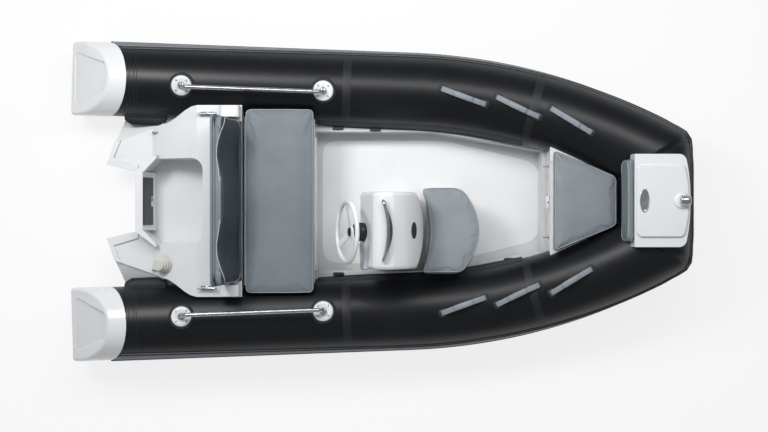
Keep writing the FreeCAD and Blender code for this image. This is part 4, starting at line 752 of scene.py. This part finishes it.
strakeEnd = next(i for i in range(middle) if fullPath[i].x > strake["aftX"])
for tag, first, last in chambers:
    span = max(first, strakeEnd), min(last, opposite(strakeEnd))
    bands = [strakeBand(*span, *band) for band in strake["bands"]]
    addPiece("strake" + tag, bands[0], "grey_strake", "strake_" + tag.lower())
    addPiece("strakeRibs" + tag, joined(*bands[1:3]), "black_rubber", paint=strakeEdge)
    addPiece("strakeLines" + tag, joined(*bands[3:]), "grey_strake", paint=strakePale)
print("collar, tapes and strakes made")


def onTube(x, side, lean, spin=0.0):
    # Matrix on the collar's line: x forward along it, z out through the skin, leaning inboard or out
    span = range(middle) if side > 0 else range(middle, len(fullPath))
    i = min(span, key=lambda k: abs(fullPath[k].x - x))
    j = i + 1 if (fullPath[i + 1].x - x) * (fullPath[i].x - x) <= 0 else i - 1
    share = (x - fullPath[i].x) / (fullPath[j].x - fullPath[i].x)
    way = fullFrames[i][1] * side
    level = way.cross(up).normalized() * side
    upward = level.cross(way).normalized() * side
    out = upward * math.cos(math.radians(lean)) + level * math.sin(math.radians(lean))
    place = Matrix((way, out.cross(way).normalized(), out)).transposed().to_4x4()
    place.translation = fullPath[i].lerp(fullPath[j], share)
    return place @ Matrix.Rotation(math.radians(spin), 4, "Z")


def laidOn(place, *meshes):
    points, faces = joined(*meshes)
    return [place @ Vector(point) for point in points], faces


# Grab rails: bent tube between two bolted flanges on rubber boots

rail = {
    "aftX": -1.129, "foreX": -0.308, "lean": 10,
    "tube": 0.0125, "rise": 0.066, "bend": 0.045, "spacing": 0.006, "footSunk": 0.004,
    "flange": 0.059, "flangeThick": 0.009, "boot": 0.075, "bootThick": 0.009, "bootDeep": 0.03,
    "bolts": 4, "boltRing": 0.72,
}


def grabRail(side):
    # Heights of the turned profiles are measured from the top of the boot
    place = onTube(rail["aftX"], side, rail["lean"])
    span, tube, flange, boot = rail["foreX"] - rail["aftX"], rail["tube"], rail["flange"], rail["boot"]
    thick, skin = rail["flangeThick"], -rail["bootThick"]
    deep = skin - rail["bootDeep"]
    base = collar["radius"] + rail["bootThick"]
    foot, crest = base + thick - rail["footSunk"], base + thick + rail["rise"]
    corners = [Vector((x, 0, z)) for x, z in ((0, foot), (0, crest), (span, crest), (span, foot))]
    path = filletPath(corners, [rail["bend"]] * 2, rail["spacing"])
    bright, flanges, screws, boots = [sweep(path, roundSection(tube, 20), port)], [], [], []
    for x in (0, span):
        centre = Vector((x, 0, base))
        boots.append(turned([(0, deep), (boot + 0.001, deep), (boot, skin + 0.001), (boot - 0.004, -0.002),
                             (boot - 0.009, 0), (0, 0)], centre, up, 56))
        flanges.append(turned([(0, 0), (flange - 0.001, 0), (flange, 0.002), (flange - 0.003, thick * 0.62),
                               (flange - 0.009, thick), (flange * 0.55, thick * 0.97), (tube + 0.016, thick * 0.6),
                               (tube + 0.008, thick * 0.72), (0, thick * 0.72)], centre, up, 56))
        bright.append(turned([(0, 0.002), (tube + 0.011, 0.002), (tube + 0.0085, 0.012), (tube + 0.004, 0.017),
                              (0, 0.017)], centre, up, 32))
        for k in range(rail["bolts"]):
            angle = math.tau * (k + 0.5) / rail["bolts"]
            spot = centre + Vector((math.cos(angle), math.sin(angle), 0)) * (flange * rail["boltRing"])
            screws.append(turned([(0, 0), (0.0062, 0), (0.0062, thick * 0.98), (0.0045, thick + 0.0022),
                                  (0.0028, thick + 0.0026), (0.0024, thick + 0.001), (0, thick + 0.001)],
                                 spot, up, 14))
    return [laidOn(place, *meshes) for meshes in (bright, boots, flanges, screws)]


railParts = []
for side, tag in sides:
    railSteel, *parts = grabRail(side)
    addPiece("grabRail" + tag, railSteel, "stainless", "grab_rail_" + tag.lower())
    railParts.append(parts)
railBoots, railFlanges, railScrews = (joined(*both) for both in zip(*railParts))
addPiece("railBoots", railBoots, "black_rubber", "rail_boots")
addPiece("railFlanges", railFlanges, "stainless", "rail_flanges", flangePaint)
addPiece("railScrews", railScrews, "stainless")

# Carry handles: arched webbing with a thicker grip, sewn to shaped patches

handle = {
    "stations": ((0.518, 7), (0.844, 8), (1.156, 6)),     # x, degrees of lean
    "turn": 12, "half": 0.14, "width": 0.030, "thick": 0.0034, "rise": 0.034, "arch": 1.15, "tuck": 0.004,
    "steps": 32, "grip": (9, 24), "gripWide": 1.06, "gripThick": 2.5,
    "patchLong": 0.0248, "patchWide": 0.025, "patchThick": 0.004, "patchAt": 0.93,
    "patchRings": ((1.0, -0.012), (1.0, 0.0012), (0.97, 0.0028), (0.9, 0.004)),   # scale, height over the skin
    "stitch": (0.0015, 0.0006, 0.0012), "stitchStep": 0.0045, "stitchRow": 0.72,
}


def carryHandle(x, lean, side):
    place = onTube(x, side, lean, -handle["turn"] * side)
    skin = collar["radius"] + handle["patchThick"]
    reach, half, thick = handle["half"] - handle["tuck"], handle["width"] / 2, handle["thick"] / 2
    path = []
    for k in range(handle["steps"] + 1):
        share = k / handle["steps"] * 2 - 1
        arch = max(0, 1 - share ** 2) ** handle["arch"]
        path.append(Vector((share * reach, 0, skin + 0.0016 + handle["rise"] * arch)))
    section = [(-half, -thick * 0.5), (-half * 0.92, -thick), (half * 0.92, -thick), (half, -thick * 0.5),
               (half, thick * 0.5), (half * 0.92, thick), (-half * 0.92, thick), (-half, thick * 0.5)]
    thicker = [(a * handle["gripWide"], u * handle["gripThick"]) for a, u in section]
    grip = sweep(path[slice(*handle["grip"])], thicker,
                 grow=lambda share: 1 - 0.16 * max(0, abs(share * 2 - 1) - 0.8) / 0.2)
    patches, stitches = [], []
    for end in (-1, 1):
        seat = handle["half"] * end * handle["patchAt"]
        rings = []
        for scale, height in handle["patchRings"]:
            flat = [(seat + a * handle["patchLong"] * scale, b * handle["patchWide"] * scale)
                    for a, b in puffed(36, 0.55, 0.8)]
            rings.append([Vector((a, b, math.sqrt(collar["radius"] ** 2 - b * b) + height)) for a, b in flat])
        patches.append(loft(rings))
        for row in (-1, 1):
            for k in range(-3, 4):
                spot = Vector((seat + k * handle["stitchStep"], row * half * handle["stitchRow"], skin + 0.0052))
                long, wide, deep = handle["stitch"]
                stitches.append(loft([[spot + Vector((dx * long, dy * wide, dz * deep))
                                       for dx, dy in ((-1, -1), (1, -1), (1, 1), (-1, 1))] for dz in (-1, 1)]))
    return [laidOn(place, *meshes) for meshes in ([sweep(path, section)], [grip], patches, stitches)]


patches, stitches = [], []
for side, tag in sides:
    straps, grips, morePatches, moreStitches = zip(*(carryHandle(x, lean, side) for x, lean in handle["stations"]))
    addPiece("straps" + tag, joined(*straps), "webbing", "handles_" + tag.lower())
    addPiece("grips" + tag, joined(*grips), "webbing", paint=gripPaint)
    patches += morePatches
    stitches += moreStitches
addPiece("handlePatches", joined(*patches), "black_rubber", "handle_patches")
addPiece("handleStitches", joined(*stitches), "webbing", paint=threadPaint, smooth=False)
print("rails and handles made")

# Cushions: closed forms swelled by a cloth run, with piping laid on their seams afterwards

soft = {
    "pressure": 4.0, "frames": 20, "stiffness": 20, "bending": 2, "quality": 4,
    "round": 0.014, "crown": 0.006, "shrink": 0.0035, "spacing": 0.009, "slack": 0.004, "limit": 0.006,
    "held": 0.012,                # height of the part that the board keeps still
    "under": ((0.016, 0), (0.006, 0.002), (0.001, 0.009)),      # inset and height of the lower edge
    "piping": 0.0021, "pipingTurns": 8, "pipingStep": 0.006, "pipingLift": 0.0004, "pipingInset": 0.0045,
}


def awayFromCollar(point, gap):
    # Pushes a point clear of the side chambers
    aft, knee, corner = sidePath(1 if point.y > 0 else -1)
    if point.x < knee.x:
        centre = aft.lerp(knee, (point.x - aft.x) / (knee.x - aft.x))
        way = (knee - aft).normalized()
    else:
        centre = knee.lerp(corner, (point.x - knee.x) / (corner.x - knee.x))
        way = (corner - knee).normalized()
    offset = point - centre
    offset -= way * offset.dot(way)
    need = collar["radius"] + gap
    if offset.length < need:
        return point + offset.normalized() * (need - offset.length)
    return point


def padShape(loop, low, high, crown, edge):
    # Closed pad over a plan loop: nearly flat beneath, full sides, rounded upper edge, crowned top
    rings = [atHeight(insetLoop(loop, inset), low + lift) for inset, lift in soft["under"]]
    rings += [atHeight(loop, (low + high) / 2), atHeight(loop, high - edge)]
    for k in range(1, 5):
        angle = math.pi / 2 * k / 4
        rings.append(atHeight(insetLoop(loop, edge * (1 - math.cos(angle))), high - edge * (1 - math.sin(angle))))
    middle = sum(loop, Vector((0, 0))) / len(loop)
    last = insetLoop(loop, edge)
    for k in range(1, 9):
        share = k / 9
        rings.append([Vector((*p.lerp(middle, share), high + crown * math.sin(math.pi / 2 * min(1, share * 1.6))))
                      for p in last])
    return loft(rings)


def evaluated(piece):
    return bpy.data.meshes.new_from_object(piece.evaluated_get(bpy.context.evaluated_depsgraph_get()))


def remeshed(name, mesh, voxel):
    # The same form with an even skin for the cloth
    points, faces = mesh
    data = bpy.data.meshes.new(name)
    data.from_pydata([tuple(point) for point in points], [], faces)
    holder = bpy.data.objects.new(name + "Rough", data)
    bpy.context.scene.collection.objects.link(holder)
    even = holder.modifiers.new("even", "REMESH")
    even.mode, even.voxel_size = "VOXEL", voxel
    calm = holder.modifiers.new("calm", "SMOOTH")
    calm.factor, calm.iterations = 0.5, 6
    taken = evaluated(holder)
    bpy.data.objects.remove(holder)
    taken.name = name
    return taken


def swell(piece, limit, held):
    # Cloth run: pressure moves the skin out by the limit at most; held(point) tells what its board keeps still
    data, scene = piece.data, bpy.context.scene
    start = [vertex.co.copy() for vertex in data.vertices]
    group = piece.vertex_groups.new(name="held")
    group.add([i for i, p in enumerate(start) if held(p)], 1.0, "REPLACE")
    cloth = piece.modifiers.new("cloth", "CLOTH")
    cloth.settings.use_pressure = True
    cloth.settings.uniform_pressure_force = soft["pressure"]
    cloth.settings.effector_weights.gravity = 0
    cloth.settings.vertex_group_mass = "held"
    cloth.settings.tension_stiffness = cloth.settings.compression_stiffness = soft["stiffness"]
    cloth.settings.bending_stiffness = soft["bending"]
    cloth.settings.quality = soft["quality"]
    for step in range(1, soft["frames"] + 1):
        scene.frame_set(step)
    swelled = evaluated(piece)
    ends = [vertex.co.copy() for vertex in swelled.vertices]
    piece.modifiers.remove(cloth)
    bpy.data.meshes.remove(swelled)
    scene.frame_set(1)
    for vertex, a, b in zip(data.vertices, start, ends):
        move = b - a
        if move.length > limit:
            move *= limit / move.length
        vertex.co = a + move


def cushion(name, mesh, node, body, vinyl, voxel, limit, held, fit=None):
    # Swelled pad; fit moves its points to where they have room
    data = remeshed(name, mesh, voxel)
    piece = bpy.data.objects.new(name, data)
    bpy.context.scene.collection.objects.link(piece)
    swell(piece, limit, held)
    if fit:
        for vertex in data.vertices:
            vertex.co = fit(vertex.co)
    data.materials.clear()
    data.materials.append(vinyl)
    for polygon in data.polygons:
        polygon.use_smooth = True
    finer = piece.modifiers.new("finer", "SUBSURF")
    finer.levels = finer.render_levels = 1
    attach(piece, body)
    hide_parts(node)
    return piece


def addPiping(name, piece, line, body="boat", paint=pipingVinyl):
    # Round piping along a closed line laid on a cushion's skin
    data = piece.data
    tree = BVHTree.FromPolygons([v.co for v in data.vertices], [p.vertices[:] for p in data.polygons])
    laid = [spot + normal * soft["pipingLift"] for spot, normal, _, _ in map(tree.find_nearest, line)]
    laid = [(laid[i - 1] + point * 2 + laid[(i + 1) % len(laid)]) / 4 for i, point in enumerate(laid)]
    laid = evenly(laid, soft["pipingStep"], True)
    rings = []
    for i, point in enumerate(laid):
        way = (laid[(i + 1) % len(laid)] - laid[i - 1]).normalized()
        across = way.cross(up)
        across = across.normalized() if across.length > 0.2 else forward
        lift = across.cross(way).normalized()
        rings.append([point + across * a + lift * u for a, u in roundSection(soft["piping"], soft["pipingTurns"])])
    rings.append(rings[0])
    addPiece(name, loft(rings, False), "cushion_vinyl", paint=paint, body=body)


def seatPad(name, node, body, seat):
    low, high, gap, edge, crown = seat["low"], seat["high"], seat["gap"], soft["round"], soft["crown"]

    def fit(point):
        # Clear of the collar, between the board and the crown
        if gap:
            point = awayFromCollar(point, gap)
        return Vector((point.x, point.y, max(low + 0.0004, min(point.z, high + crown + soft["slack"]))))

    loop = insetLoop(roundedPlan(seat["plan"], seat["radius"], soft["spacing"]), soft["shrink"])
    piece = cushion(name, padShape(loop, low, high - soft["slack"], crown, edge), node, body, seat["vinyl"],
                    seat["voxel"], soft["limit"], lambda p: p.z < low + soft["held"], fit)
    seam = atHeight(insetLoop(loop, soft["pipingInset"]), high - edge * 0.30)
    addPiping(name + "Piping", piece, seam, body)


# Plans run anticlockwise from the aft starboard corner; gap is the room kept to the collar
seatPad("benchPad", "bench_cushion", "bench_seat", {
    "plan": ((-0.773, -0.545), (-0.356, -0.545), (-0.356, 0.545), (-0.773, 0.545)),
    "low": 0.408, "high": 0.470, "radius": 0.040, "voxel": 0.0085, "gap": 0.036, "vinyl": benchVinylShaded})
seatPad("frontSeatPad", "front_seat_cushion", "front_seat", {
    "plan": ((0.252, -0.424), (0.499, -0.424, 0.105), (0.499, 0.078), (0.252, 0.078, -0.052)),
    "low": 0.416, "high": 0.478, "radius": 0.034, "voxel": 0.0065, "gap": 0, "vinyl": finishes["cushion_vinyl"]})
seatPad("bowSeatPad", "bow_seat_cushion", "bow_seat", {
    "plan": ((1.020, -0.303), (1.394, -0.150), (1.394, 0.150), (1.020, 0.303)),
    "low": 0.441, "high": 0.503, "radius": 0.030, "voxel": 0.0065, "gap": 0.012, "vinyl": bowVinylShaded})
print("seat cushions made")

# Backrest: leaning bolster with two hollows for the sitters' backs

backrest = {
    "half": 0.480, "foot": (-0.783, 0.455), "top": (-0.850, 0.815), "tall": 0.36,
    "deep": 0.060, "hollowY": 0.262, "hollowHalf": 0.185, "hollowDeep": 0.028, "round": 0.030, "cornerRound": 0.055,
    "inside": 0.006, "voxel": 0.0085, "columns": 72, "darkFrom": 0.014, "seamDrop": 0.011,
    "welt": 0.0078, "weltHalf": 0.442, "weltUp": 0.972, "weltBack": 0.0550,
}


def leaning(foot, top, facing):
    # Gives a function for places on a leaning face: y, share of the way up, metres out of it
    foot, top = (Vector((x, 0, z)) for x, z in (foot, top))
    way = (top - foot).normalized()
    normal = Vector((way.z * facing, 0, -way.x * facing))
    return lambda y, lift, out: foot + (top - foot) * lift + normal * out + Vector((0, y, 0))


backSpot = leaning(backrest["foot"], backrest["top"], 1)
backNormal = (backSpot(0, 0, 1) - backSpot(0, 0, 0)).normalized()


def hollowAt(y, lift):
    # Depth of the front face behind its foremost line, smooth along the bolster
    dip = 0
    for side in (-1, 1):
        away = abs(y - backrest["hollowY"] * side) / backrest["hollowHalf"]
        dip += backrest["hollowDeep"] * (0.5 + 0.5 * math.cos(math.pi * min(1, away)))
    return dip * min(1, 0.35 + lift * 1.2)


def standsOut(point):
    return (point - backSpot(0, 0, 0)).dot(backNormal)


def bolster(half, deep, tall, hollow, spot, roundEnd, roundEdge, columns):
    # Sections across the width; each is a rounded loop of (out, lift) that narrows at the ends
    rings = []
    for column in range(columns + 1):
        y = half * math.sin(math.pi / 2 * (column / columns * 2 - 1))
        near = half - abs(y)
        pinch = 1.0 if near > roundEnd else math.sqrt(max(0.0, 1 - (1 - near / roundEnd) ** 2))
        pinch = max(pinch, 0.12)
        ring = []
        for a, b in puffed(48, roundEdge / deep * 1.25, roundEdge / tall * 1.6):
            lift = 0.5 + b * 0.5 * (1 - (1 - pinch) * 0.16)
            out = -deep / 2 + a * deep / 2 * (0.45 + 0.55 * pinch)
            if a > 0:
                out -= hollow(y, lift) * min(1, a * 1.5)
            ring.append(spot(y, lift, out))
        rings.append(ring)
    return loft(rings)


backShape = bolster(backrest["half"] - backrest["inside"], backrest["deep"] - backrest["inside"], backrest["tall"],
                    hollowAt, lambda y, lift, out: backSpot(y, 0.012 + lift * 0.976, out - backrest["inside"] / 2),
                    backrest["cornerRound"], backrest["round"], backrest["columns"])
backPad = cushion("backrestPad", backShape, "backrest_cushion", "boat", benchVinylShaded, backrest["voxel"], soft["limit"],
                  lambda p: standsOut(p) < -backrest["deep"] + soft["held"])
# Much darker vinyl inside the front seam: painted shade for the bolster's front face, which lies in its own shadow
backPad.data.materials.append(frontShadeVinyl)
for face in backPad.data.polygons:
    dark = standsOut(face.center) > -hollowAt(face.center.y, 0.5) - backrest["darkFrom"]
    face.material_index = 1 if dark else 0
backSeam = []
for a, b in puffed(160, 0.34, 0.34):
    y, lift = a * (backrest["half"] - 0.012), 0.5 + b * 0.475
    backSeam.append(backSpot(y, lift, -hollowAt(y, lift) - backrest["seamDrop"]))
addPiping("backrestPiping", backPad, backSeam, paint=seamVinyl)

# Vinyl roll that fills the groove between panel and pad along the top
weltPath = [backSpot(backrest["weltHalf"] * (k / 20 - 1), backrest["weltUp"], -backrest["weltBack"])
            for k in range(41)]
welt = sweep(weltPath, roundSection(backrest["welt"]), grow=lambda share: min(1, 0.25 + 12 * min(share, 1 - share)))
addPiece("backrestWelt", welt, "cushion_vinyl", paint=benchVinylShaded)

# Dark padded roll along the backrest's foot, where its hollows leave the moulding bare: painted shade for the
# backrest's shadow there
apron = {"x": -0.7990, "z": 0.4552, "half": 0.462, "deep": 0.0150, "tall": 0.0125}
apronPath = [Vector((apron["x"], apron["half"] * (k / 20 - 1), apron["z"])) for k in range(41)]
apronSection = [(math.cos(a) * apron["deep"], max(0.0, math.sin(a)) ** 0.7 * apron["tall"])
                for a in (math.pi * k / 12 for k in range(13))]
addPiece("backrestShadeRoll", sweep(apronPath, apronSection), "cushion_vinyl", paint=frontShadeVinyl)

# Back of the bow seat: a plain bolster that faces aft

bowBack = {"half": 0.236, "foot": (1.414, 0.563), "top": (1.434, 0.697), "deep": 0.031, "tall": 0.135, "voxel": 0.005,
           "limit": 0.004, "columns": 48, "cornerRound": 0.04, "round": 0.017}
bowSpot = leaning(bowBack["foot"], bowBack["top"], -1)
bowShape = bolster(bowBack["half"], bowBack["deep"], bowBack["tall"], lambda y, lift: 0.0,
                   lambda y, lift, out: bowSpot(y, lift, out + bowBack["deep"] / 2),
                   bowBack["cornerRound"], bowBack["round"], bowBack["columns"])
bowPad = cushion("bowBackPad", bowShape, "bow_back_cushion", "boat", backVinyl, bowBack["voxel"], bowBack["limit"],
                 lambda p: p.x > 1.432 + (p.z - 0.56) * 0.15)
bowSeam = [bowSpot(a * (bowBack["half"] - 0.008), 0.5 + b * 0.45, 0.004 + bowBack["deep"] / 2)
           for a, b in puffed(120, 0.34, 0.5)]
addPiping("bowBackPiping", bowPad, bowSeam)
print("backrests made")

# Steering wheel: padded rim, three shaped spokes that meet in a round boss, bare cap

wheel = {
    "centre": (-0.165, -0.176, 0.730), "tilt": 21, "spokes": 3,
    "radius": 0.168, "rim": 0.0145, "rimFlat": 0.86, "dent": 0.0012, "boss": 0.036, "sink": 0.024,
    "helmBack": 0.034, "helmBolts": 6, "helmBoltRing": 0.0435,
}
wheelTilt = math.radians(wheel["tilt"])
wheelAxis = Vector((-math.cos(wheelTilt), 0, math.sin(wheelTilt)))
wheelUp = wheelAxis.cross(port).normalized()
wheelCentre = Vector(wheel["centre"])


def spoke(angle):
    return port * math.cos(angle) + wheelUp * math.sin(angle)


def wheelRim():
    rings = []
    for i in range(96):
        angle = math.tau * i / 96
        # Finger hollows round the inner side of the rim
        dent = wheel["dent"] * (0.5 - 0.5 * math.cos(angle * 24))
        rings.append([wheelCentre + spoke(angle) * (wheel["radius"] + (wheel["rim"] - dent * max(0, -a)) * a)
                      + wheelAxis * (wheel["rim"] * wheel["rimFlat"] * u) for a, u in puffed(20)])
    rings.append(rings[0])
    return loft(rings, False)


def wheelSpoke(number):
    # Dished spoke: broad where it leaves the boss, waisted, and flared into the rim
    base = math.tau * number / wheel["spokes"]
    level = spoke(base + math.pi / 2)
    inner = wheel["boss"] * 0.7
    rings = []
    for k in range(25):
        share = k / 24
        half = 0.0155 + 0.012 * (1 - share) ** 3 + 0.017 * share ** 4
        dish = -wheel["sink"] * (1 - share) ** 1.4
        thick = 0.0048 + 0.003 * share ** 2
        centre = wheelCentre + spoke(base) * (inner + (wheel["radius"] - inner) * share)
        ring = []
        for a, u in puffed(16, 0.7, 0.7):
            height = dish + thick * u - (0.0022 * (1 - abs(a)) if u > 0 else 0)
            ring.append(centre + wheelAxis * height + level * (a * half))
        rings.append(ring)
    return loft(rings)


def turnedWheel(profile, count):
    # Heights are measured from the boss, which lies below the rim
    return turned(profile, wheelCentre - wheelAxis * wheel["sink"], wheelAxis, count)


bossOut = wheel["boss"]
boss = turnedWheel([(0, -0.012), (bossOut * 0.6, -0.012), (bossOut, -0.004), (bossOut + 0.002, 0.002),
                    (bossOut - 0.002, 0.007), (bossOut * 0.72, 0.0085), (0, 0.0085)], 48)
stem = turnedWheel([(0, -0.038), (0.0117, -0.038), (0.0117, -0.008), (0, -0.008)], 32)
wheelSpokes = [wheelSpoke(number) for number in range(wheel["spokes"])]
addPiece("wheelRim", joined(wheelRim(), *wheelSpokes, boss, stem), "wheel_white", "steering_wheel", body="wheel")
capBare = turnedWheel([(0, 0.006), (0.0265, 0.006), (0.0265, 0.0105), (0.0235, 0.0135), (0.012, 0.0155),
                       (0, 0.016)], 44)
addPiece("wheelCapBare", capBare, "black_plastic", "wheel_cap", body="wheel")

helmBase = wheelCentre - wheelAxis * wheel["helmBack"]
helmProfile = [(0.0135, 0), (0.030, 0), (0.034, -0.002), (0.036, -0.006), (0.040, -0.010), (0.0505, -0.016),
               (0.052, -0.022), (0.052, -0.034), (0.0495, -0.037), (0.052, -0.040), (0.052, -0.075), (0.0135, -0.075)]
# First corner once more at the end, which gives the stem's hole its wall
helm = turned(helmProfile + helmProfile[:1], helmBase, wheelAxis, 56, False)
helmBolts = [turned([(0, -0.0155), (0.0045, -0.0155), (0.0045, -0.0115), (0.003, -0.010), (0, -0.010)],
                    helmBase + spoke(math.tau * (k + 0.5) / wheel["helmBolts"]) * wheel["helmBoltRing"], wheelAxis, 6)
             for k in range(wheel["helmBolts"])]
addPiece("helmDressed", helm, "black_plastic", "helm_boot")
addPiece("helmBolts", joined(*helmBolts), "stainless", smooth=False)
print("steering made")

# Mooring cleats: two-legged horn cleats on bolted feet

cleat = {"x": -0.982, "y": 0.505, "deck": 0.455, "half": 0.058, "bar": 0.487, "rod": 0.0072, "droop": 0.0005,
         "hornUp": 0.004, "legs": (-0.018, 0.018), "screws": (-0.031, 0.031), "plate": (-0.038, 0, 0.038)}


def hornCleat(side):
    foot = Vector((cleat["x"], cleat["y"] * side, cleat["deck"]))
    path = []
    for k in range(25):
        share = k / 24 * 2 - 1
        height = cleat["bar"] - cleat["deck"] - cleat["droop"] + cleat["hornUp"] * share * share
        path.append(foot + forward * (share * cleat["half"]) + up * height)
    bar = sweep(path, roundSection(cleat["rod"], 16, 0.86),
                grow=lambda share: 0.5 + 0.5 * math.sqrt(max(0.0, 1 - abs(share * 2 - 1) ** 5)))
    legs = [turned([(0, 0), (0.0125, 0), (0.0125, 0.002), (0.0095, 0.005), (0.0065, 0.012), (0.0055, 0.020),
                    (0.0062, 0.030), (0, 0.032)], foot + forward * step, up, 24) for step in cleat["legs"]]
    plate = sweep([foot + forward * step + up * 0.0008 for step in cleat["plate"]],
                  [(-0.013, -0.0008), (0.013, -0.0008), (0.013, 0.0009), (0.011, 0.0018), (-0.011, 0.0018),
                   (-0.013, 0.0009)])
    screws = [turned([(0, 0.001), (0.0048, 0.001), (0.0042, 0.0038), (0.002, 0.0045), (0, 0.0042)],
                     foot + forward * step, up, 16) for step in cleat["screws"]]
    return joined(bar, *legs, plate, *screws)


addPiece("hornCleats", joined(hornCleat(1), hornCleat(-1)), "stainless", "cleats")

# Bow lamp: chrome barrel with end rings on a white round foot

lamp = {"x": 1.711, "z": 0.716, "foot": 0.046, "height": 0.014, "radius": 0.029, "aft": 1.697, "barrelUp": 0.0145}
lampOut, footOut = lamp["radius"], lamp["foot"]
lampFoot = turned([(0, 0), (footOut - 0.0005, 0), (footOut, 0.003), (footOut - 0.003, 0.008),
                   (footOut - 0.010, 0.0125), (footOut - 0.018, lamp["height"]), (0, lamp["height"])],
                  Vector((lamp["x"], 0, lamp["z"])), up, 56)
barrel = turned([(0, 0), (0.017, 0), (0.0195, 0.0012), (lampOut - 0.003, 0.003), (lampOut, 0.006), (lampOut, 0.013),
                 (lampOut - 0.0016, 0.0145), (lampOut - 0.0016, 0.0165), (lampOut, 0.018), (lampOut, 0.050),
                 (lampOut - 0.003, 0.055), (0.0215, 0.058), (0.019, 0.0565), (0, 0.0555)],
                Vector((lamp["aft"], 0, lamp["z"] + lamp["height"] + lamp["barrelUp"])), forward, 48)
addPiece("lampBarrel", barrel, "stainless", "bow_light")
addPiece("lampFoot", lampFoot, "white_moulding", paint=flangePaint)


# Bare oval plates: one bright on the bow step, one black on the console's nose

def ovalPlate(centre, out, half, wide, thick, rim):
    across = out.cross(port).normalized()
    rings = []
    for grow, height in ((1.0, -0.0015), (1.0, thick * 0.35), (0.985, thick * 0.8), (0.95, thick), (0.90, thick),
                         (0.87, thick - rim), (0.55, thick - rim * 0.8), (0.25, thick - rim * 0.6)):
        rings.append([centre + out * height + (port * a * half + across * u * wide) * grow for a, u in puffed(48)])
    return loft(rings)


ovals = {"bow": (1.5025, 0.0, 0.7160), "nose": (0.2082, -0.168, 0.7322), "noseOut": (0.843, 0, 0.538)}
addPiece("stepOval", ovalPlate(Vector(ovals["bow"]), up, 0.0675, 0.0265, 0.0035, 0.0009), "stainless")
noseOval = ovalPlate(Vector(ovals["nose"]), Vector(ovals["noseOut"]), 0.0475, 0.027, 0.0042, 0.0008)
addPiece("noseOval", noseOval, "black_plastic", "console_badge")
print("cleats, lamp and plates made")

# Cockpit: raised grip panel on the sole, tabs on the side ledges, hooks and latch on the bow locker

sole = {"z": 0.060, "radius": 0.085, "spacing": 0.012,
        "starboard": ((-0.334, -0.376), (0.40, -0.376), (0.990, -0.235)),
        "edge": ((0, -0.001), (0, 0.00064), (0.0016, 0.00136), (0.004, 0.0016))}      # inset, height over the sole
soleHalf = sole["starboard"]
solePlan = roundedPlan([*soleHalf, *((x, -y) for x, y in reversed(soleHalf))], sole["radius"], sole["spacing"])
soleRings = [atHeight(insetLoop(solePlan, inset), sole["z"] + height) for inset, height in sole["edge"]]
addPiece("solePanel", loft(soleRings), "white_moulding", paint=soleGrip)


def block(centre, half, rounding):
    # Small moulded block with rounded plan corners and eased upper edge
    x, y, z = centre
    plan = [Vector((x + a * half[0], y + b * half[1])) for a, b in puffed(32, rounding, rounding)]
    ease = min(half[:2]) * 0.3
    return loft([atHeight(insetLoop(plan, ease * inset), z + half[2] * lift)
                 for inset, lift in ((0, -1), (0, 0.5), (0.4, 0.9), (1, 1))])


tab = {"half": (0.033, 0.010, 0.005), "rounding": 0.5, "z": 0.250,
       "spots": ((-0.232, 0.435), (-0.229, -0.432), (0.790, -0.346), (-0.010, 0.427))}
tabs = [block((*spot, tab["z"]), tab["half"], tab["rounding"]) for spot in tab["spots"]]
addPiece("ledgeTabs", joined(*tabs), "black_plastic")

locker = {"face": 1.010, "hooks": (0.203, -0.213), "hookZ": 0.345, "hookRod": 0.0036, "hookBend": 0.008,
          "hookPath": ((-0.001, 0), (-0.030, 0), (-0.030, 0.022)),
          "latch": (0.9985, -0.008, 0.388), "latchHalf": (0.012, 0.038, 0.014), "key": (0.003, 0, 0.0136)}
hooks = []
for y in locker["hooks"]:
    face = Vector((locker["face"], y, locker["hookZ"]))
    hooks.append(turned([(0, 0.001), (0.011, 0.001), (0.011, -0.0015), (0.008, -0.003), (0, -0.003)],
                        face, forward, 24))
    bent = filletPath([face + Vector((x, 0, z)) for x, z in locker["hookPath"]], [locker["hookBend"]], 0.003)
    hooks.append(sweep(bent, roundSection(locker["hookRod"], 12), port))
addPiece("lockerHooks", joined(*hooks), "stainless")
addPiece("lockerLatch", block(locker["latch"], locker["latchHalf"], 0.45), "white_moulding", paint=flangePaint)
keyhole = turned([(0, 0), (0.0042, 0), (0.0042, 0.0016), (0.003, 0.0022), (0, 0.0018)],
                 Vector(locker["latch"]) + Vector(locker["key"]), up, 16)
addPiece("latchKey", keyhole, "black_plastic")

# Drain bolt in the transom pad's notch
drain = {"at": (-1.3425, 0.009, 0.238), "out": (0.981448, 0, 0.191725)}
drainBolt = turned([(0, -0.002), (0.015, -0.002), (0.015, 0.0015), (0.0125, 0.003), (0.0075, 0.003),
                    (0.0068, 0.0065), (0.0045, 0.008), (0, 0.0082)], Vector(drain["at"]), Vector(drain["out"]), 28)
addPiece("drainBolt", drainBolt, "stainless")
print("cockpit fittings made")
